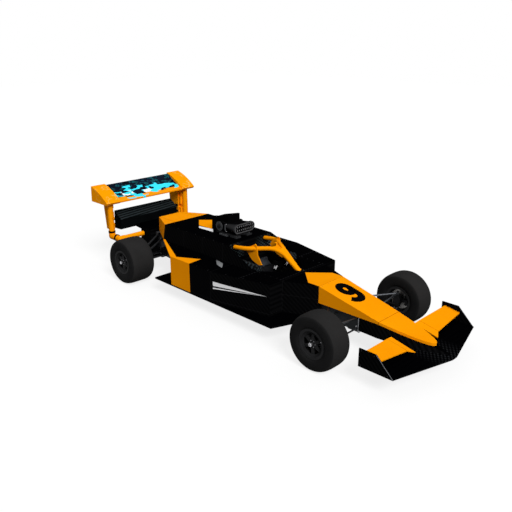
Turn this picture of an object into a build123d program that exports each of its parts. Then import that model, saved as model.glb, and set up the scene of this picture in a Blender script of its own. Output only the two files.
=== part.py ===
from build123d import *
from math import atan, degrees, sqrt
import os

# Open wheel racing car, at full size, in millimetres.
# +X points to the nose, +Y to the car's left and +Z up, and the tyres stand on Z = 0.
# Everything is drawn with the front axle above X = 0. write() then moves it forward by
# front_axle_x, which puts the origin below the middle of the car's overall length.

# Driving dimensions
front_axle_x = 1705
wheelbase = 3650
rear_axle_x = -wheelbase
axle_z = 335
tyre_radius = 335
front_tyre_width = 305
rear_tyre_width = 385
overall_half_width = 1000
front_wheel_y = overall_half_width - front_tyre_width / 2
rear_wheel_y = overall_half_width - rear_tyre_width / 2
rim_radius = 167
steering_offset_y = 700
running_fit = 0.05

# Heights that the body parts share
floor_low_z = 213
body_low_z = 235
deck_z = 648
roof_z = 873
skin = 14

# Plan stations of the tub and the pods: (x, half-width)
nose_joint = (-521, 235)
tub_shoulder = (-954, 422)
tub_rear_x = -2000
pod_front_outer = (-954, 634)
pod_flare_end = (-1820, 842)
pod_rear_x = -2650
cover_front_x = -1400
roof_front_x = -1950
cover_rear_x = -3306
cover_base_half = 460
cover_roof_half = 420
tail_rear_x = -3730


# Shared shapes

def mirrored(shape):
    """The same shape on the other side of the car."""
    return mirror(shape, about=Plane.XZ)


def both_sides(shape):
    """A right-hand and a left-hand copy of a shape as one part."""
    return Part() + [shape, mirrored(shape)]


def plan_slab(outline, z_low, z_high):
    """A slab with a plan outline of (x, y) points, between two heights."""
    return extrude(Pos(0, 0, z_low) * Polygon(*outline, align=None), z_high - z_low)


def side_slab(profile, y_low, y_high):
    """A slab with a side profile of (x, z) points, between two Y values."""
    face = Plane.XZ.offset(-y_low) * Polygon(*profile, align=None)
    return extrude(face, amount=y_high - y_low, dir=(0, 1, 0))


def side_by_side(plan_half):
    """A closed plan outline from the points of its left half, front first."""
    return plan_half + [(x, -y) for x, y in reversed(plan_half) if y]


def body_through(sections):
    """A straight-sided body through upright sections.

    Each section is (x, half-width at the bottom, half-width at the top, z_low, z_top).
    """
    faces = []
    for x, low_half, top_half, z_low, z_top in sections:
        outline = [(-low_half, z_low), (low_half, z_low), (top_half, z_top), (-top_half, z_top)]
        faces.append(Plane.YZ.offset(x) * Polygon(*outline, align=None))
    return loft(faces, ruled=True)


def rod(start, end, radius):
    """A round rod between two points."""
    start = Vector(*start)
    along = Vector(*end) - start
    return extrude(Plane(start, z_dir=along) * Circle(radius), along.length)


def ring_about_y(profile):
    """The body that a closed profile of (y, radius) sketches when turned about the Y axis."""
    return revolve(Plane.YZ * profile, Axis.Y)


# Tub, nose and floor

# Left half of the cockpit's opening: (x, y)
opening_half = [(-1075, 50), (-1130, 160), (cover_front_x, 400), (roof_front_x + 5, 400)]
tub_floor_z = body_low_z + 40
leg_tunnel_half = 150
leg_tunnel_top = 600
leg_tunnel_ends = (-1140, -640)


def monocoque():
    """The tub: a deep hull with the cockpit cut out of it and a tunnel ahead for the legs."""
    outline = side_by_side([nose_joint, tub_shoulder, (tub_rear_x, tub_shoulder[1])])
    hull = plan_slab(outline, body_low_z, deck_z)
    cockpit = plan_slab(side_by_side(opening_half), tub_floor_z, deck_z + 10)
    rear_x, front_x = leg_tunnel_ends
    tunnel_plan = side_by_side([(front_x, leg_tunnel_half), (rear_x, leg_tunnel_half)])
    tunnel = plan_slab(tunnel_plan, tub_floor_z, leg_tunnel_top)
    return hull - cockpit - tunnel


nose_crease = (333, 203)
nose_crease_z = 448
nose_tip_x = 953
nose_tip_z = 340
nose_rim = 32
nose_side_low_z = 430


def nose_plan(x):
    """Half-width of the nose's front part: a parabola from the tip back to the crease."""
    return nose_crease[1] * sqrt((nose_tip_x - x) / (nose_tip_x - nose_crease[0]))


def nose_top_z(x):
    """Height of the nose's upper face, straight from the crease to the tip."""
    fall = (nose_crease_z - nose_tip_z) / (nose_tip_x - nose_crease[0])
    return nose_crease_z - fall * (x - nose_crease[0])


def nose_cone():
    """The long nose top: a wedge back from the crease and a rounded blade ahead of it."""
    wedge = body_through([
        (nose_joint[0], nose_joint[1], nose_joint[1], nose_side_low_z, deck_z),
        (nose_crease[0], nose_crease[1], nose_crease[1], nose_crease_z - nose_rim, nose_crease_z),
    ])
    stations = [nose_crease[0], 500, 650, 780, 880, 930, nose_tip_x]
    left_edge = Spline(*[(x, nose_plan(x)) for x in stations])
    right_edge = mirror(left_edge, about=Plane.XZ)
    back = Line((nose_crease[0], nose_crease[1]), (nose_crease[0], -nose_crease[1]))
    outline = make_face(Curve() + [left_edge, right_edge, back])
    tall = extrude(Pos(0, 0, 200) * outline, 400)
    blade_profile = [(nose_crease[0], nose_crease_z), (nose_tip_x + 10, nose_top_z(nose_tip_x + 10)),
                     (nose_tip_x + 10, nose_top_z(nose_tip_x + 10) - nose_rim),
                     (nose_crease[0], nose_crease_z - nose_rim)]
    blade = tall & side_slab(blade_profile, -300, 300)
    return wedge + blade


block_front_x = 70
keel_low_z = body_low_z + 20

# Keel sections below the nose: (x, half-width at the bottom, half-width at the top)
keel_sections = [
    (block_front_x, 215, 209),
    (nose_crease[0], 225, 196),
    (650, 190, 138),
    (880, 110, 60),
]
chin_tip_x = 1120
chin_tip_half = 8
chin_tip_rise = 6


def nose_under_z(x):
    """Height of the nose cone's underside."""
    if x >= nose_crease[0]:
        return nose_top_z(x) - nose_rim
    share = (x - nose_joint[0]) / (nose_crease[0] - nose_joint[0])
    return nose_side_low_z + share * (nose_crease_z - nose_rim - nose_side_low_z)


def nose_keel():
    """The dark lower nose, from the suspension block down to the front wing."""
    sections = [(x, low, top, keel_low_z, nose_under_z(x)) for x, low, top in keel_sections]
    tip = (chin_tip_x, chin_tip_half, chin_tip_half, keel_low_z, keel_low_z + chin_tip_rise)
    return body_through(sections) + body_through([sections[-1], tip])


block_half = 190
block_low_z = body_low_z - 15
flange_thick = 14
flange_half = 204
pocket_rear_x = -350
pocket_front_x = -100
pocket_heights = (275, 385)
pocket_depth = 20


def suspension_block():
    """The front bulkhead's block, which carries the front wishbones, with a flange at its front."""
    flange_x = block_front_x - flange_thick
    block = body_through([(x, block_half, block_half, block_low_z, nose_under_z(x))
                          for x in (nose_joint[0], block_front_x)])
    block += body_through([(x, flange_half, flange_half, block_low_z, nose_under_z(x))
                           for x in (flange_x, block_front_x)])
    pocket_plan = [(pocket_front_x, block_half), (pocket_front_x, block_half - pocket_depth),
                   (pocket_rear_x, block_half - pocket_depth), (pocket_rear_x, block_half)]
    pocket = plan_slab(pocket_plan, *pocket_heights)
    return block - pocket - mirrored(pocket)


floor_front_x = -620
floor_rear_x = -3030


def floor():
    """The flat floor below the tub and the pods."""
    half = pod_flare_end[1]
    outline = side_by_side([(floor_front_x, 500), (floor_front_x - 120, half), (floor_rear_x, half)])
    return plan_slab(outline, floor_low_z, body_low_z)


def sidepod_left():
    """One pod: it flares out from the front and runs straight to a flat rear."""
    outline = [tub_shoulder, pod_front_outer, pod_flare_end, (pod_rear_x, pod_flare_end[1]),
               (pod_rear_x, tub_shoulder[1])]
    return plan_slab(outline, body_low_z, deck_z)


# Front wing

wing_low_z = body_low_z
wing_top_z = wing_low_z + 20
wing_apex_x = 1180
endplate_y = 844
endplate_thick = 14
wing_corner_x = 967
wing_rear_x = 537

# Flap stations: (y, front x, front z, rear x, rear z)
flap_stations = [
    (240, 841, 281, 530, 350),
    (330, 790, 312, 535, 362),
    (endplate_y, 775, 372, 578, 404),
]
flap_thick = 12
flap_support_y = 290


def front_wing_plane():
    """The swept main plane, with the small uprights that hold the flaps' inner ends."""
    outline = side_by_side([(wing_apex_x, 45), (wing_corner_x, endplate_y),
                            (wing_rear_x, endplate_y), (480, 240)])
    plane = plan_slab(outline, wing_low_z, wing_top_z)
    support = side_slab([(760, wing_top_z), (590, wing_top_z), (590, 330), (760, 292)],
                        flap_support_y, flap_support_y + 10)
    support = support - front_wing_flaps()
    return plane + support + mirrored(support)


def front_wing_endplates():
    """The two upright endplates with their raked front edges."""
    profile = [(wing_corner_x, wing_low_z), (750, 446), (wing_rear_x, 446), (wing_rear_x, wing_low_z)]
    return both_sides(side_slab(profile, endplate_y, endplate_y + endplate_thick))


def flap_section(y, front_x, front_z, rear_x, rear_z):
    """A thin flap section at one distance from the centre line."""
    outline = [(front_x, front_z), (rear_x, rear_z), (rear_x, rear_z - flap_thick),
               (front_x, front_z - flap_thick)]
    return Plane.XZ.offset(-y) * Polygon(*outline, align=None)


def front_wing_flaps():
    """The bright flaps, which rise towards the endplates and fold down at their inner tips."""
    inner, fold, outer = [flap_section(*station) for station in flap_stations]
    flap = loft([inner, fold], ruled=True) + loft([fold, outer], ruled=True)
    return both_sides(flap)


# Engine cover, tail and roof

def engine_cover():
    """The cover: leaning walls that fall to the cockpit sides in front, a flat roof, a bulkhead
    behind the driver, and the swept deck behind the pods."""
    outer = body_through([
        (x, cover_base_half, cover_roof_half, deck_z, roof_z) for x in (cover_front_x, cover_rear_x)])
    side_view = [(cover_front_x, deck_z), (roof_front_x, roof_z), (cover_rear_x, roof_z),
                 (cover_rear_x, deck_z)]
    outer = outer & side_slab(side_view, -500, 500)
    bulkhead = 15
    inner_sections = (cover_base_half - skin, cover_roof_half - skin, deck_z - 1, roof_z - skin)
    rear_room = body_through([(x, *inner_sections) for x in (roof_front_x - bulkhead, cover_rear_x - 1)])
    inner_front = (cover_base_half - skin, cover_roof_half - skin, deck_z - 1, roof_z + 1)
    front_room = body_through([(x, *inner_front) for x in (cover_front_x + 1, roof_front_x)])
    deck = plan_slab([(pod_rear_x, cover_base_half - 30), (pod_rear_x, pod_flare_end[1]),
                      (cover_rear_x, cover_base_half), (cover_rear_x, cover_base_half - 30)],
                     deck_z - skin, deck_z)
    return outer - rear_room - front_room + deck + mirrored(deck)


tail_rear_half = 210
tail_low_z = 660
tail_top_z = 862


def tail_cover():
    """The bright tail: a hollow hood that narrows behind the engine cover."""
    outer = [(cover_rear_x, cover_base_half, cover_roof_half, deck_z, roof_z),
             (tail_rear_x, tail_rear_half + 12, tail_rear_half, tail_low_z, tail_top_z)]
    inner = [(cover_rear_x + 1, cover_base_half - skin, cover_roof_half - skin, deck_z - 1,
              roof_z - skin),
             (tail_rear_x - 1, tail_rear_half - 2, tail_rear_half - skin, tail_low_z - 1,
              tail_top_z - skin)]
    return body_through(outer) - body_through(inner)


engine_front_x = -2150
engine_rear_x = -2900
engine_size = 560


def engine_block():
    """The engine, as one plain block."""
    block = Box(engine_front_x - engine_rear_x, engine_size, engine_size)
    return Pos((engine_front_x + engine_rear_x) / 2, 0, body_low_z + engine_size / 2) * block


crash_box_front_x = -3850
lug_half_y = 240
lug_size = (60, 46)
shaft_radius = 20
shaft_seat_y = 95

# Gearbox sections: (x, half-width at the bottom, half-width at the top, z_low, z_top)
gearbox_sections = [
    (engine_rear_x, 190, 190, body_low_z, 620),
    (-3450, 225, 205, 245, 612),
    (crash_box_front_x, 190, 190, 255, 600),
]

# The rear rods, from the upright to the gearbox: (outer x, outer z, inner x, inner z)
rear_rods = [
    (-3596, 372, -3674, 530),
    (-3700, 376, -3770, 586),
    (-3612, 285, -3612, 285),
    (-3694, 246, -3694, 246),
]


def gearbox():
    """The gearbox case, with two shaft outlets and a lug for each rear rod."""
    case = body_through(gearbox_sections)
    case += rod((rear_axle_x, -lug_half_y, axle_z), (rear_axle_x, lug_half_y, axle_z), 55)
    for _, _, x, z in rear_rods:
        case += Pos(x, 0, z) * Box(lug_size[0], 2 * lug_half_y, lug_size[1])
    bore = rod((rear_axle_x, shaft_seat_y, axle_z), (rear_axle_x, 400, axle_z), shaft_radius + running_fit)
    return case - bore - mirrored(bore)


scoop_mouth_x = -2045
scoop_collar_x = -2255
scoop_z = 1008
scoop_half = 190
scoop_half_height = 66
scoop_wall = 10
scoop_ring_depth = 30
scoop_taper = 7
grille_columns = 9
grille_pitch = 36
grille_slot = (24, 38)
grille_row_z = 25
grille_depth = 12
grille_thick = 8
scoop_step = 6
collar_thick = 18
collar_half = 172
collar_height = 150


def scoop_outline(margin):
    """The scoop's upright stadium outline, smaller than the mouth by a margin."""
    return SlotOverall(2 * (scoop_half - margin), 2 * (scoop_half_height - margin))


def intake_scoop():
    """The air scoop: a ringed mouth with a grille of two rows, and a body that narrows back."""
    mouth = Plane((scoop_mouth_x, 0, scoop_z), x_dir=(0, 1, 0), z_dir=(-1, 0, 0))
    length = scoop_mouth_x - scoop_collar_x
    ring = extrude(mouth * scoop_outline(0), scoop_ring_depth)
    shell = extrude(mouth * scoop_outline(scoop_step), length, taper=scoop_taper)
    inside = mouth * scoop_outline(scoop_step + scoop_wall)
    hollow = extrude(inside, length, taper=scoop_taper)
    grille = Pos(-grille_depth, 0, 0) * extrude(inside, grille_thick)
    for column in range(grille_columns):
        y = (column - (grille_columns - 1) / 2) * grille_pitch
        for row in (1, -1):
            slot = Box(4 * grille_thick, *grille_slot)
            slot_x = scoop_mouth_x - grille_depth - grille_thick / 2
            grille -= Pos(slot_x, y, scoop_z + row * grille_row_z) * slot
    return ring + shell - hollow + grille


drum_x = -2386
drum_z = 992
drum_radius = 66
drum_half = 170
case_half = 150
foot_half = 172
foot_top_z = roof_z + 20
lid_half = 110

# The blower's case and its raised lid from the side: (x, z)
case_side = [
    (scoop_mouth_x - 50, foot_top_z),
    (scoop_mouth_x - 50, 930),
    (scoop_collar_x, 930),
    (scoop_collar_x, 1040),
    (-2330, 1050),
    (-2440, 1010),
    (-2470, foot_top_z),
]
lid_side = [
    (-2262, 1040),
    (-2262, 1150),
    (-2290, 1150),
    (-2570, 1078),
    (-2570, 1062),
    (-2400, 1040),
]

# Feet on the roof: (front x, rear x, inner y, outer y)
blower_feet = [
    (-2060, -2185, 60, 150),
    (-2225, -2385, 60, foot_half),
]


def blower():
    """The blower behind the scoop: a case on feet, a drum across it, a collar and a raised lid."""
    case = side_slab(case_side, -case_half, case_half)
    collar = Plane((scoop_collar_x, 0, scoop_z - 20), x_dir=(0, 1, 0), z_dir=(-1, 0, 0))
    case += extrude(collar * RectangleRounded(2 * collar_half, collar_height, 50), collar_thick)
    case += rod((drum_x, -drum_half, drum_z), (drum_x, drum_half, drum_z), drum_radius)
    case += side_slab(lid_side, -lid_half, lid_half)
    for front_x, rear_x, inner_y, outer_y in blower_feet:
        foot = plan_slab([(front_x, inner_y), (front_x, outer_y), (rear_x, outer_y), (rear_x, inner_y)],
                         roof_z, foot_top_z)
        case += foot + mirrored(foot)
    return case


# Cockpit

seat_half = 190
bolster_width = 40
headrest_half = 110

# The seat's shell, a side bolster and the headrest from the side: (x, z)
seat_back = [
    (-1210, tub_floor_z),
    (-1210, 325),
    (-1470, 300),
    (-1600, 560),
    (-1700, 560),
    (-1640, tub_floor_z),
]
seat_bolster = [
    (-1230, tub_floor_z),
    (-1230, 370),
    (-1430, 380),
    (-1560, 600),
    (-1690, 600),
    (-1640, tub_floor_z),
]
headrest = [
    (-1590, 540),
    (-1560, 556),
    (-1690, 672),
    (-1735, 650),
    (-1700, 540),
]


def seat():
    """The driver's seat: a reclined shell with side bolsters and a headrest wedge."""
    shell = side_slab(seat_back, -seat_half, seat_half)
    for low_y in (-seat_half, seat_half - bolster_width):
        shell += side_slab(seat_bolster, low_y, low_y + bolster_width)
    return shell + side_slab(headrest, -headrest_half, headrest_half)


pad_y = (285, 398)
pad_half_height = 50


def cockpit_padding():
    """The padded rim round the driver's shoulders."""
    front_x = cover_front_x - 10
    rear_x = roof_front_x + 5
    inner_y, outer_y = pad_y
    pad = plan_slab([(front_x, inner_y), (front_x, outer_y), (rear_x, outer_y), (rear_x, inner_y)],
                    deck_z - pad_half_height, deck_z + pad_half_height)
    return both_sides(pad)


dash_rear_x = -1122
dash_thick = 20


def dash():
    """The dash panel between the cockpit's front walls, with a hood over it."""
    front_x = dash_rear_x + dash_thick
    profile = [(dash_rear_x, 500), (dash_rear_x, 612), (dash_rear_x - 50, 622),
               (dash_rear_x - 50, 632), (front_x, 632), (front_x, 500)]
    panel = side_slab(profile, -200, 200)
    return panel & plan_slab(side_by_side(opening_half), 400, 700)


wheel_centre = (-1360, 0, 640)
wheel_lean = 65
wheel_size = (150, 250)
wheel_thick = 24
grip_window = (86, 40)
grip_window_y = 68


def steering_wheel():
    """The flat racing wheel with two hand windows, a hub and its column."""
    plate = RectangleRounded(*wheel_size, 34)
    for side in (1, -1):
        plate -= Pos(0, side * grip_window_y) * Rectangle(*grip_window)
    wheel = extrude(plate, wheel_thick / 2, both=True)
    wheel += Box(76, 92, 40)
    column = rod((-1352, 0, 636), (dash_rear_x + 30, 0, 540), 14)
    column -= Pos(dash_rear_x + 50, 0, 550) * Box(100, 100, 200)
    return Pos(*wheel_centre) * Rot(0, -wheel_lean, 0) * wheel + column


arm_radius = 29
arm_y = 289
arm_bend_radius = 330
stem_top_radius = 42
stem_low_radius = 33
fork_point = (-1372, 34, 878)
arm_rear_point = (roof_front_x, arm_y, 818)
arm_bend_point = (-1730, arm_y, 846)
stem_top = (-1350, 0, 838)
stem_low = (-1050, 0, deck_z - 4)
arm_foot_point = (-1060, 3, deck_z + 2)

# The web in the fork and the hanging blades, as (x, y) and (x, z) outlines
web_plan_half = [(-1330, 24), (-1395, 62), (-1600, 190)]
web_side = [(-1320, 832), (-1420, 866), (-1600, 870), (-1600, 846), (-1420, 842), (-1320, 808)]
crotch_centre_x = -1610
crotch_radius = 120
blade_y = 222
blade_half_thick = 6
blade_side = [(-1773, 784), (-1722, 862), (-1615, 925), (-1590, 903), (-1572, 778), (-1497, 661),
              (-1547, 644), (-1672, 687)]


def halo():
    """The hoop above the driver: two arms that bend down into one front stem, with a web in their
    fork and hanging blades."""
    stem_axis = Vector(*stem_low) - Vector(*stem_top)
    shrink = degrees(atan((stem_top_radius - stem_low_radius) / stem_axis.length))
    stem = extrude(Plane(stem_top, z_dir=stem_axis) * Circle(stem_top_radius), stem_axis.length + 20,
                   taper=shrink)
    hoop = stem + Pos(*stem_top) * Sphere(stem_top_radius)
    path = FilletPolyline(arm_rear_point, arm_bend_point, fork_point, arm_foot_point,
                          radius=arm_bend_radius)
    arm = sweep(Plane(path @ 0, z_dir=path % 0) * Circle(arm_radius), path)
    web = side_slab(web_side, -200, 200) & plan_slab(side_by_side(web_plan_half), 800, 900)
    web -= Pos(crotch_centre_x, 0, 850) * Cylinder(crotch_radius, 200)
    blade = side_slab(blade_side, blade_y - blade_half_thick, blade_y + blade_half_thick)
    hoop = hoop + web + arm + mirrored(arm) + blade + mirrored(blade)
    below_deck = Pos(-1000, 0, deck_z - 100) * Box(300, 300, 200)
    bulkhead = Pos(roof_front_x - 100, 0, 800) * Box(200, 1000, 300)
    return hoop - below_deck - bulkhead


# Rear wing

cap_low_z = 1070
wing_half = 605
cap_outer_y = 848


def rear_wing_plane():
    """The upper wing: a thin cambered plane that rises to the rear."""
    top = ThreePointArc((-4168, 1098), (-4352, 1176), (-4540, 1298))
    low = ThreePointArc((-4552, 1276), (-4356, 1148), (-4172, 1076))
    rear = Line((-4540, 1298), (-4552, 1276))
    front = Line((-4172, 1076), (-4168, 1098))
    section = make_face(Curve() + [top, rear, low, front])
    return extrude(Plane.XZ.offset(-wing_half) * section, amount=2 * wing_half, dir=(0, -1, 0))


def rear_wing_caps():
    """The arched end caps at the wing's tips."""
    arch = ThreePointArc((-4156, 1100), (-4330, 1215), (-4580, 1308))
    rear = Line((-4580, 1308), (-4590, cap_low_z))
    low = Line((-4590, cap_low_z), (-4180, cap_low_z))
    nose = Line((-4180, cap_low_z), (-4156, 1100))
    section = make_face(Curve() + [arch, rear, low, nose])
    cap = extrude(Plane.XZ.offset(-wing_half) * section, amount=cap_outer_y - wing_half, dir=(0, 1, 0))
    return both_sides(cap)


fin_inner_y = 637
fin_outer_y = 653


def rear_wing_fins():
    """The upright plates below the caps, which hold the beam wing."""
    fin = side_slab([(-4588, cap_low_z), (-4350, cap_low_z), (-4330, 600), (-4535, 600)],
                    fin_inner_y, fin_outer_y)
    return both_sides(fin)


beam_half = 554
beam_low_front = (-4290, 611)
beam_top_front = (-4270, 783)


def beam_front_x(z):
    """Where the lower wing's front face is at one height."""
    low_x, low_z = beam_low_front
    top_x, top_z = beam_top_front
    return low_x + (top_x - low_x) * (z - low_z) / (top_z - low_z)


def beam_wing():
    """The lower wing between the fins: a deep wedge, with lugs that reach the fins."""
    wedge = side_slab([(-4441, 893), beam_top_front, beam_low_front, (-4458, 605)],
                      -beam_half, beam_half)
    for z in (680, 780):
        lug = plan_slab([(-4345, beam_half), (-4345, fin_inner_y), (-4415, fin_inner_y),
                         (-4415, beam_half)], z - 12, z + 12)
        wedge += lug + mirrored(lug)
    return wedge


pipe_radius = 44
elbow_radius = 50
post_x = -4270
post_y = 730
strut_x = -4055
strut_z = 550
strut_start_y = 640
elbow_top_z = 620
elbow_front_x = -4135
web_x = (-4370, -4296)
web_low_z = 640
web_slot_rear_x = web_x[0] + 14
web_slot_depth = 30
web_slot_heights = ((742, 800), (920, 978))


def rear_wing_post_left():
    """One pipe post: down from the cap into a thick elbow, forward, and in towards the middle."""
    corner = (post_x, post_y, strut_z)
    turn = (strut_x, post_y, strut_z)
    post = rod((post_x, post_y, cap_low_z), corner, pipe_radius)
    post += rod((post_x, post_y, elbow_top_z), corner, elbow_radius)
    post += Pos(*corner) * Sphere(elbow_radius)
    post += rod(corner, (elbow_front_x, post_y, strut_z), elbow_radius)
    post += rod(corner, turn, pipe_radius)
    post += Pos(*turn) * Sphere(pipe_radius)
    post += rod(turn, (strut_x, strut_start_y, strut_z), pipe_radius)
    web = side_slab([(web_x[0], web_low_z), (web_x[0], cap_low_z), (web_x[1], cap_low_z),
                     (web_x[1], web_low_z)], fin_outer_y, post_y)
    for low, high in web_slot_heights:
        web -= side_slab([(web_slot_rear_x, low), (web_slot_rear_x, high), (web_x[1], high),
                          (web_x[1], low)], fin_outer_y, fin_outer_y + web_slot_depth)
    return post + web


crash_box_half = 300

# The crash box's side view ahead of the strut and below its top plate: (x, z)
crash_box_low_z = 300
crash_box_top_z = 645
crash_plate_low_z = 628
crash_box_back = [(strut_x - 50, 612), (strut_x - 50, 500), (strut_x - 80, 420),
                  (strut_x - 60, crash_box_low_z)]


def rear_crash_box():
    """The dark structure behind the gearbox, with a top plate that meets the lower rear wing."""
    profile = [(crash_box_front_x, crash_box_low_z), (crash_box_front_x, crash_box_top_z),
               (beam_front_x(crash_box_top_z), crash_box_top_z),
               (beam_front_x(crash_plate_low_z), crash_plate_low_z)]
    return side_slab(profile + crash_box_back, -crash_box_half, crash_box_half)


def rear_wing_strut():
    """The two cross pipes from the crash box to the posts."""
    return both_sides(rod((strut_x, crash_box_half, strut_z), (strut_x, strut_start_y, strut_z),
                          pipe_radius - 5))


# Suspension

ball_radius = 18
kingpin_radius = 8
kingpin_reach = 100
eye_height = 26
arm_tube_radius = 11
arm_inner_x = (-400, 30)
push_rod = ((-12, 660, 245), (-300, 170, 372))
push_rod_radius = 9
stub_radius = 22
upright_outer_y = 736
rear_upright_y = (615, 665)
rear_stub_radius = 25
stub_bore_radius = rear_stub_radius + running_fit
rear_stub_end_y = 960
shaft_end_y = rear_upright_y[0] - 25
rear_rod_radius = 15
disc_gap = 35
disc_thick = 12
disc_radius = 128
disc_clear = 6
caliper_radii = (86, 142)
caliper_cover = 13
caliper_half = 62
bracket_x = (30, 120)
bracket_half = 20


def front_arms_left():
    """One side's upper and lower wishbones and the push rod."""
    arms = Part()
    for lift, inner_z in ((kingpin_reach, 395), (-kingpin_reach, 262)):
        outer = (0, steering_offset_y, axle_z + lift)
        arms += Pos(*outer) * Cylinder(ball_radius, eye_height)
        for inner_x in arm_inner_x:
            arms += rod(outer, (inner_x, block_half, inner_z), arm_tube_radius)
    arms += rod(*push_rod, push_rod_radius)
    bore = Pos(0, steering_offset_y, axle_z) * Cylinder(kingpin_radius + running_fit, 400)
    inboard = Pos(-200, 0, 320) * Box(700, 2 * block_half, 400)
    flange = Pos(block_front_x - flange_thick / 2, 0, 320) * Box(flange_thick, 2 * flange_half, 400)
    return arms - bore - inboard - flange


def caliper(inner_y):
    """A brake caliper about the Y axis, ahead of the axle, round a disc that starts at a gap
    outside inner_y, with the bracket that holds it."""
    disc_y = inner_y + disc_gap
    low_y = disc_y - caliper_cover
    high_y = disc_y + disc_thick + caliper_cover
    inner, outer = caliper_radii
    body = ring_about_y(Polygon((low_y, inner), (high_y, inner), (high_y, outer), (low_y, outer),
                                align=None))
    body &= side_slab([(0, -caliper_half), (outer, -caliper_half), (outer, caliper_half),
                       (0, caliper_half)], low_y, high_y)
    groove_y = (disc_y - disc_clear, disc_y + disc_thick + disc_clear)
    groove_radius = disc_radius + disc_clear
    body -= ring_about_y(Polygon((groove_y[0], 1), (groove_y[1], 1), (groove_y[1], groove_radius),
                                 (groove_y[0], groove_radius), align=None))
    bracket = side_slab([(bracket_x[0], -bracket_half), (bracket_x[1], -bracket_half),
                         (bracket_x[1], bracket_half), (bracket_x[0], bracket_half)], inner_y, low_y)
    return body + bracket


def front_upright_left():
    """One steering knuckle: a waisted block with kingpins, a steering arm, the stub and a caliper."""
    half_height = kingpin_reach - eye_height / 2 - 1
    profile = [(-30, -half_height), (30, -half_height), (46, -30), (46, 30), (30, half_height),
               (-30, half_height), (-46, 30), (-46, -30)]
    block = Pos(0, 0, axle_z) * side_slab(profile, steering_offset_y - 16, upright_outer_y)
    upright = block + Pos(0, steering_offset_y, axle_z) * Cylinder(
        kingpin_radius, 2 * kingpin_reach + 44)
    for side in (1, -1):
        cap_z = axle_z + side * (kingpin_reach + eye_height / 2 + 6)
        upright += Pos(0, steering_offset_y, cap_z) * Cylinder(14, 10)
    steering_arm = plan_slab([(-30, 684), (-30, 704), (-128, 704), (-128, 690)],
                             axle_z - 62, axle_z - 48)
    upright += steering_arm + rod((0, upright_outer_y - 2, axle_z), (0, 960, axle_z), stub_radius)
    return upright + Pos(0, 0, axle_z) * caliper(upright_outer_y)


def rear_upright_left():
    """One rear upright with the bearing bore for the drive stub, and its caliper."""
    profile = [(-76, -104), (76, -104), (76, 70), (48, 110), (-48, 110), (-76, 70)]
    block = side_slab(profile, *rear_upright_y)
    bore = rod((0, 500, 0), (0, 800, 0), stub_bore_radius)
    return Pos(rear_axle_x, 0, axle_z) * (block + caliper(rear_upright_y[1]) - bore)


def rear_arms_left():
    """One side's rear rods: two inclined above the drive shaft and two level below it."""
    rods = Part()
    for outer_x, outer_z, inner_x, inner_z in rear_rods:
        rods += rod((outer_x, rear_upright_y[0] + 20, outer_z), (inner_x, lug_half_y - 40, inner_z),
                    rear_rod_radius)
    inboard = Pos(rear_axle_x, 0, 400) * Box(600, 2 * lug_half_y, 800)
    outboard = Pos(rear_axle_x, rear_upright_y[0] + 100, 400) * Box(600, 200, 800)
    return rods - inboard - outboard


# Wheels

rim_inset = 14
lip_thick = 8
nut_inset = 22
nut_height = 16
lip_radius = 180
barrel_radius = 150
spoke_count = 6
hub_radius = 46
nut_radius = 27

# A spoke at the hub and in the barrel: (radius, distance in from the rim's face, width, depth)
spoke_sections = [
    (hub_radius - 8, 46, 46, 34),
    (barrel_radius + 4, 40, 26, 20),
]

# One side of the tyre's section, from the bead out to the crown: (distance in from the side, radius)
tyre_section = [(rim_inset + lip_thick, lip_radius), (2, 212), (0, 262), (13, 301), (34, 323),
                (66, 333)]


def tyre(width):
    """A slick tyre about the Y axis, with round shoulders and a slightly crowned tread."""
    half = width / 2
    bead = half - rim_inset - lip_thick
    side = [(half - inward, radius) for inward, radius in tyre_section]
    other_side = [(-y, radius) for y, radius in reversed(side)]
    outline = [(bead, rim_radius)] + side + [(0, tyre_radius)] + other_side + [(-bead, rim_radius)]
    return ring_about_y(Polygon(*outline, align=None))


def rim(width, bore_radius, disc_y):
    """A six-spoke rim about the Y axis, its open side towards -Y, with a brake disc at disc_y, a
    closed wheel nut outside and a bore for the axle stub."""
    half = width / 2 - rim_inset
    lip = half - lip_thick
    wheel = ring_about_y(Polygon(
        (-half, barrel_radius), (-half, lip_radius), (-lip, lip_radius), (-lip, rim_radius),
        (lip, rim_radius), (lip, lip_radius), (half, lip_radius), (half, barrel_radius), align=None))
    nut_y = half - nut_inset
    wheel += ring_about_y(Polygon(
        (disc_y, bore_radius), (disc_y, disc_radius), (disc_y + disc_thick, disc_radius),
        (disc_y + disc_thick, hub_radius), (nut_y - 6, hub_radius), (nut_y, hub_radius - 6),
        (nut_y, bore_radius), align=None))
    wheel += Pos(0, nut_y, 0) * Rot(-90, 0, 0) * extrude(RegularPolygon(nut_radius, 6), nut_height)
    spoke = loft([
        Plane.XY.offset(radius) * Pos(0, half - inset) * Rectangle(wide, deep)
        for radius, inset, wide, deep in spoke_sections], ruled=True)
    for turn in range(spoke_count):
        wheel += Rot(0, turn * 360 / spoke_count, 0) * spoke
    return wheel


def front_tyre_left():
    """The front tyre."""
    return Pos(0, front_wheel_y, axle_z) * tyre(front_tyre_width)


def front_rim_left():
    """The front rim, which turns on the knuckle's stub."""
    disc_y = upright_outer_y + disc_gap - front_wheel_y
    return Pos(0, front_wheel_y, axle_z) * rim(front_tyre_width, stub_radius + running_fit, disc_y)


def rear_tyre_left():
    """The rear tyre, wider than the front one."""
    return Pos(rear_axle_x, rear_wheel_y, axle_z) * tyre(rear_tyre_width)


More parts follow.
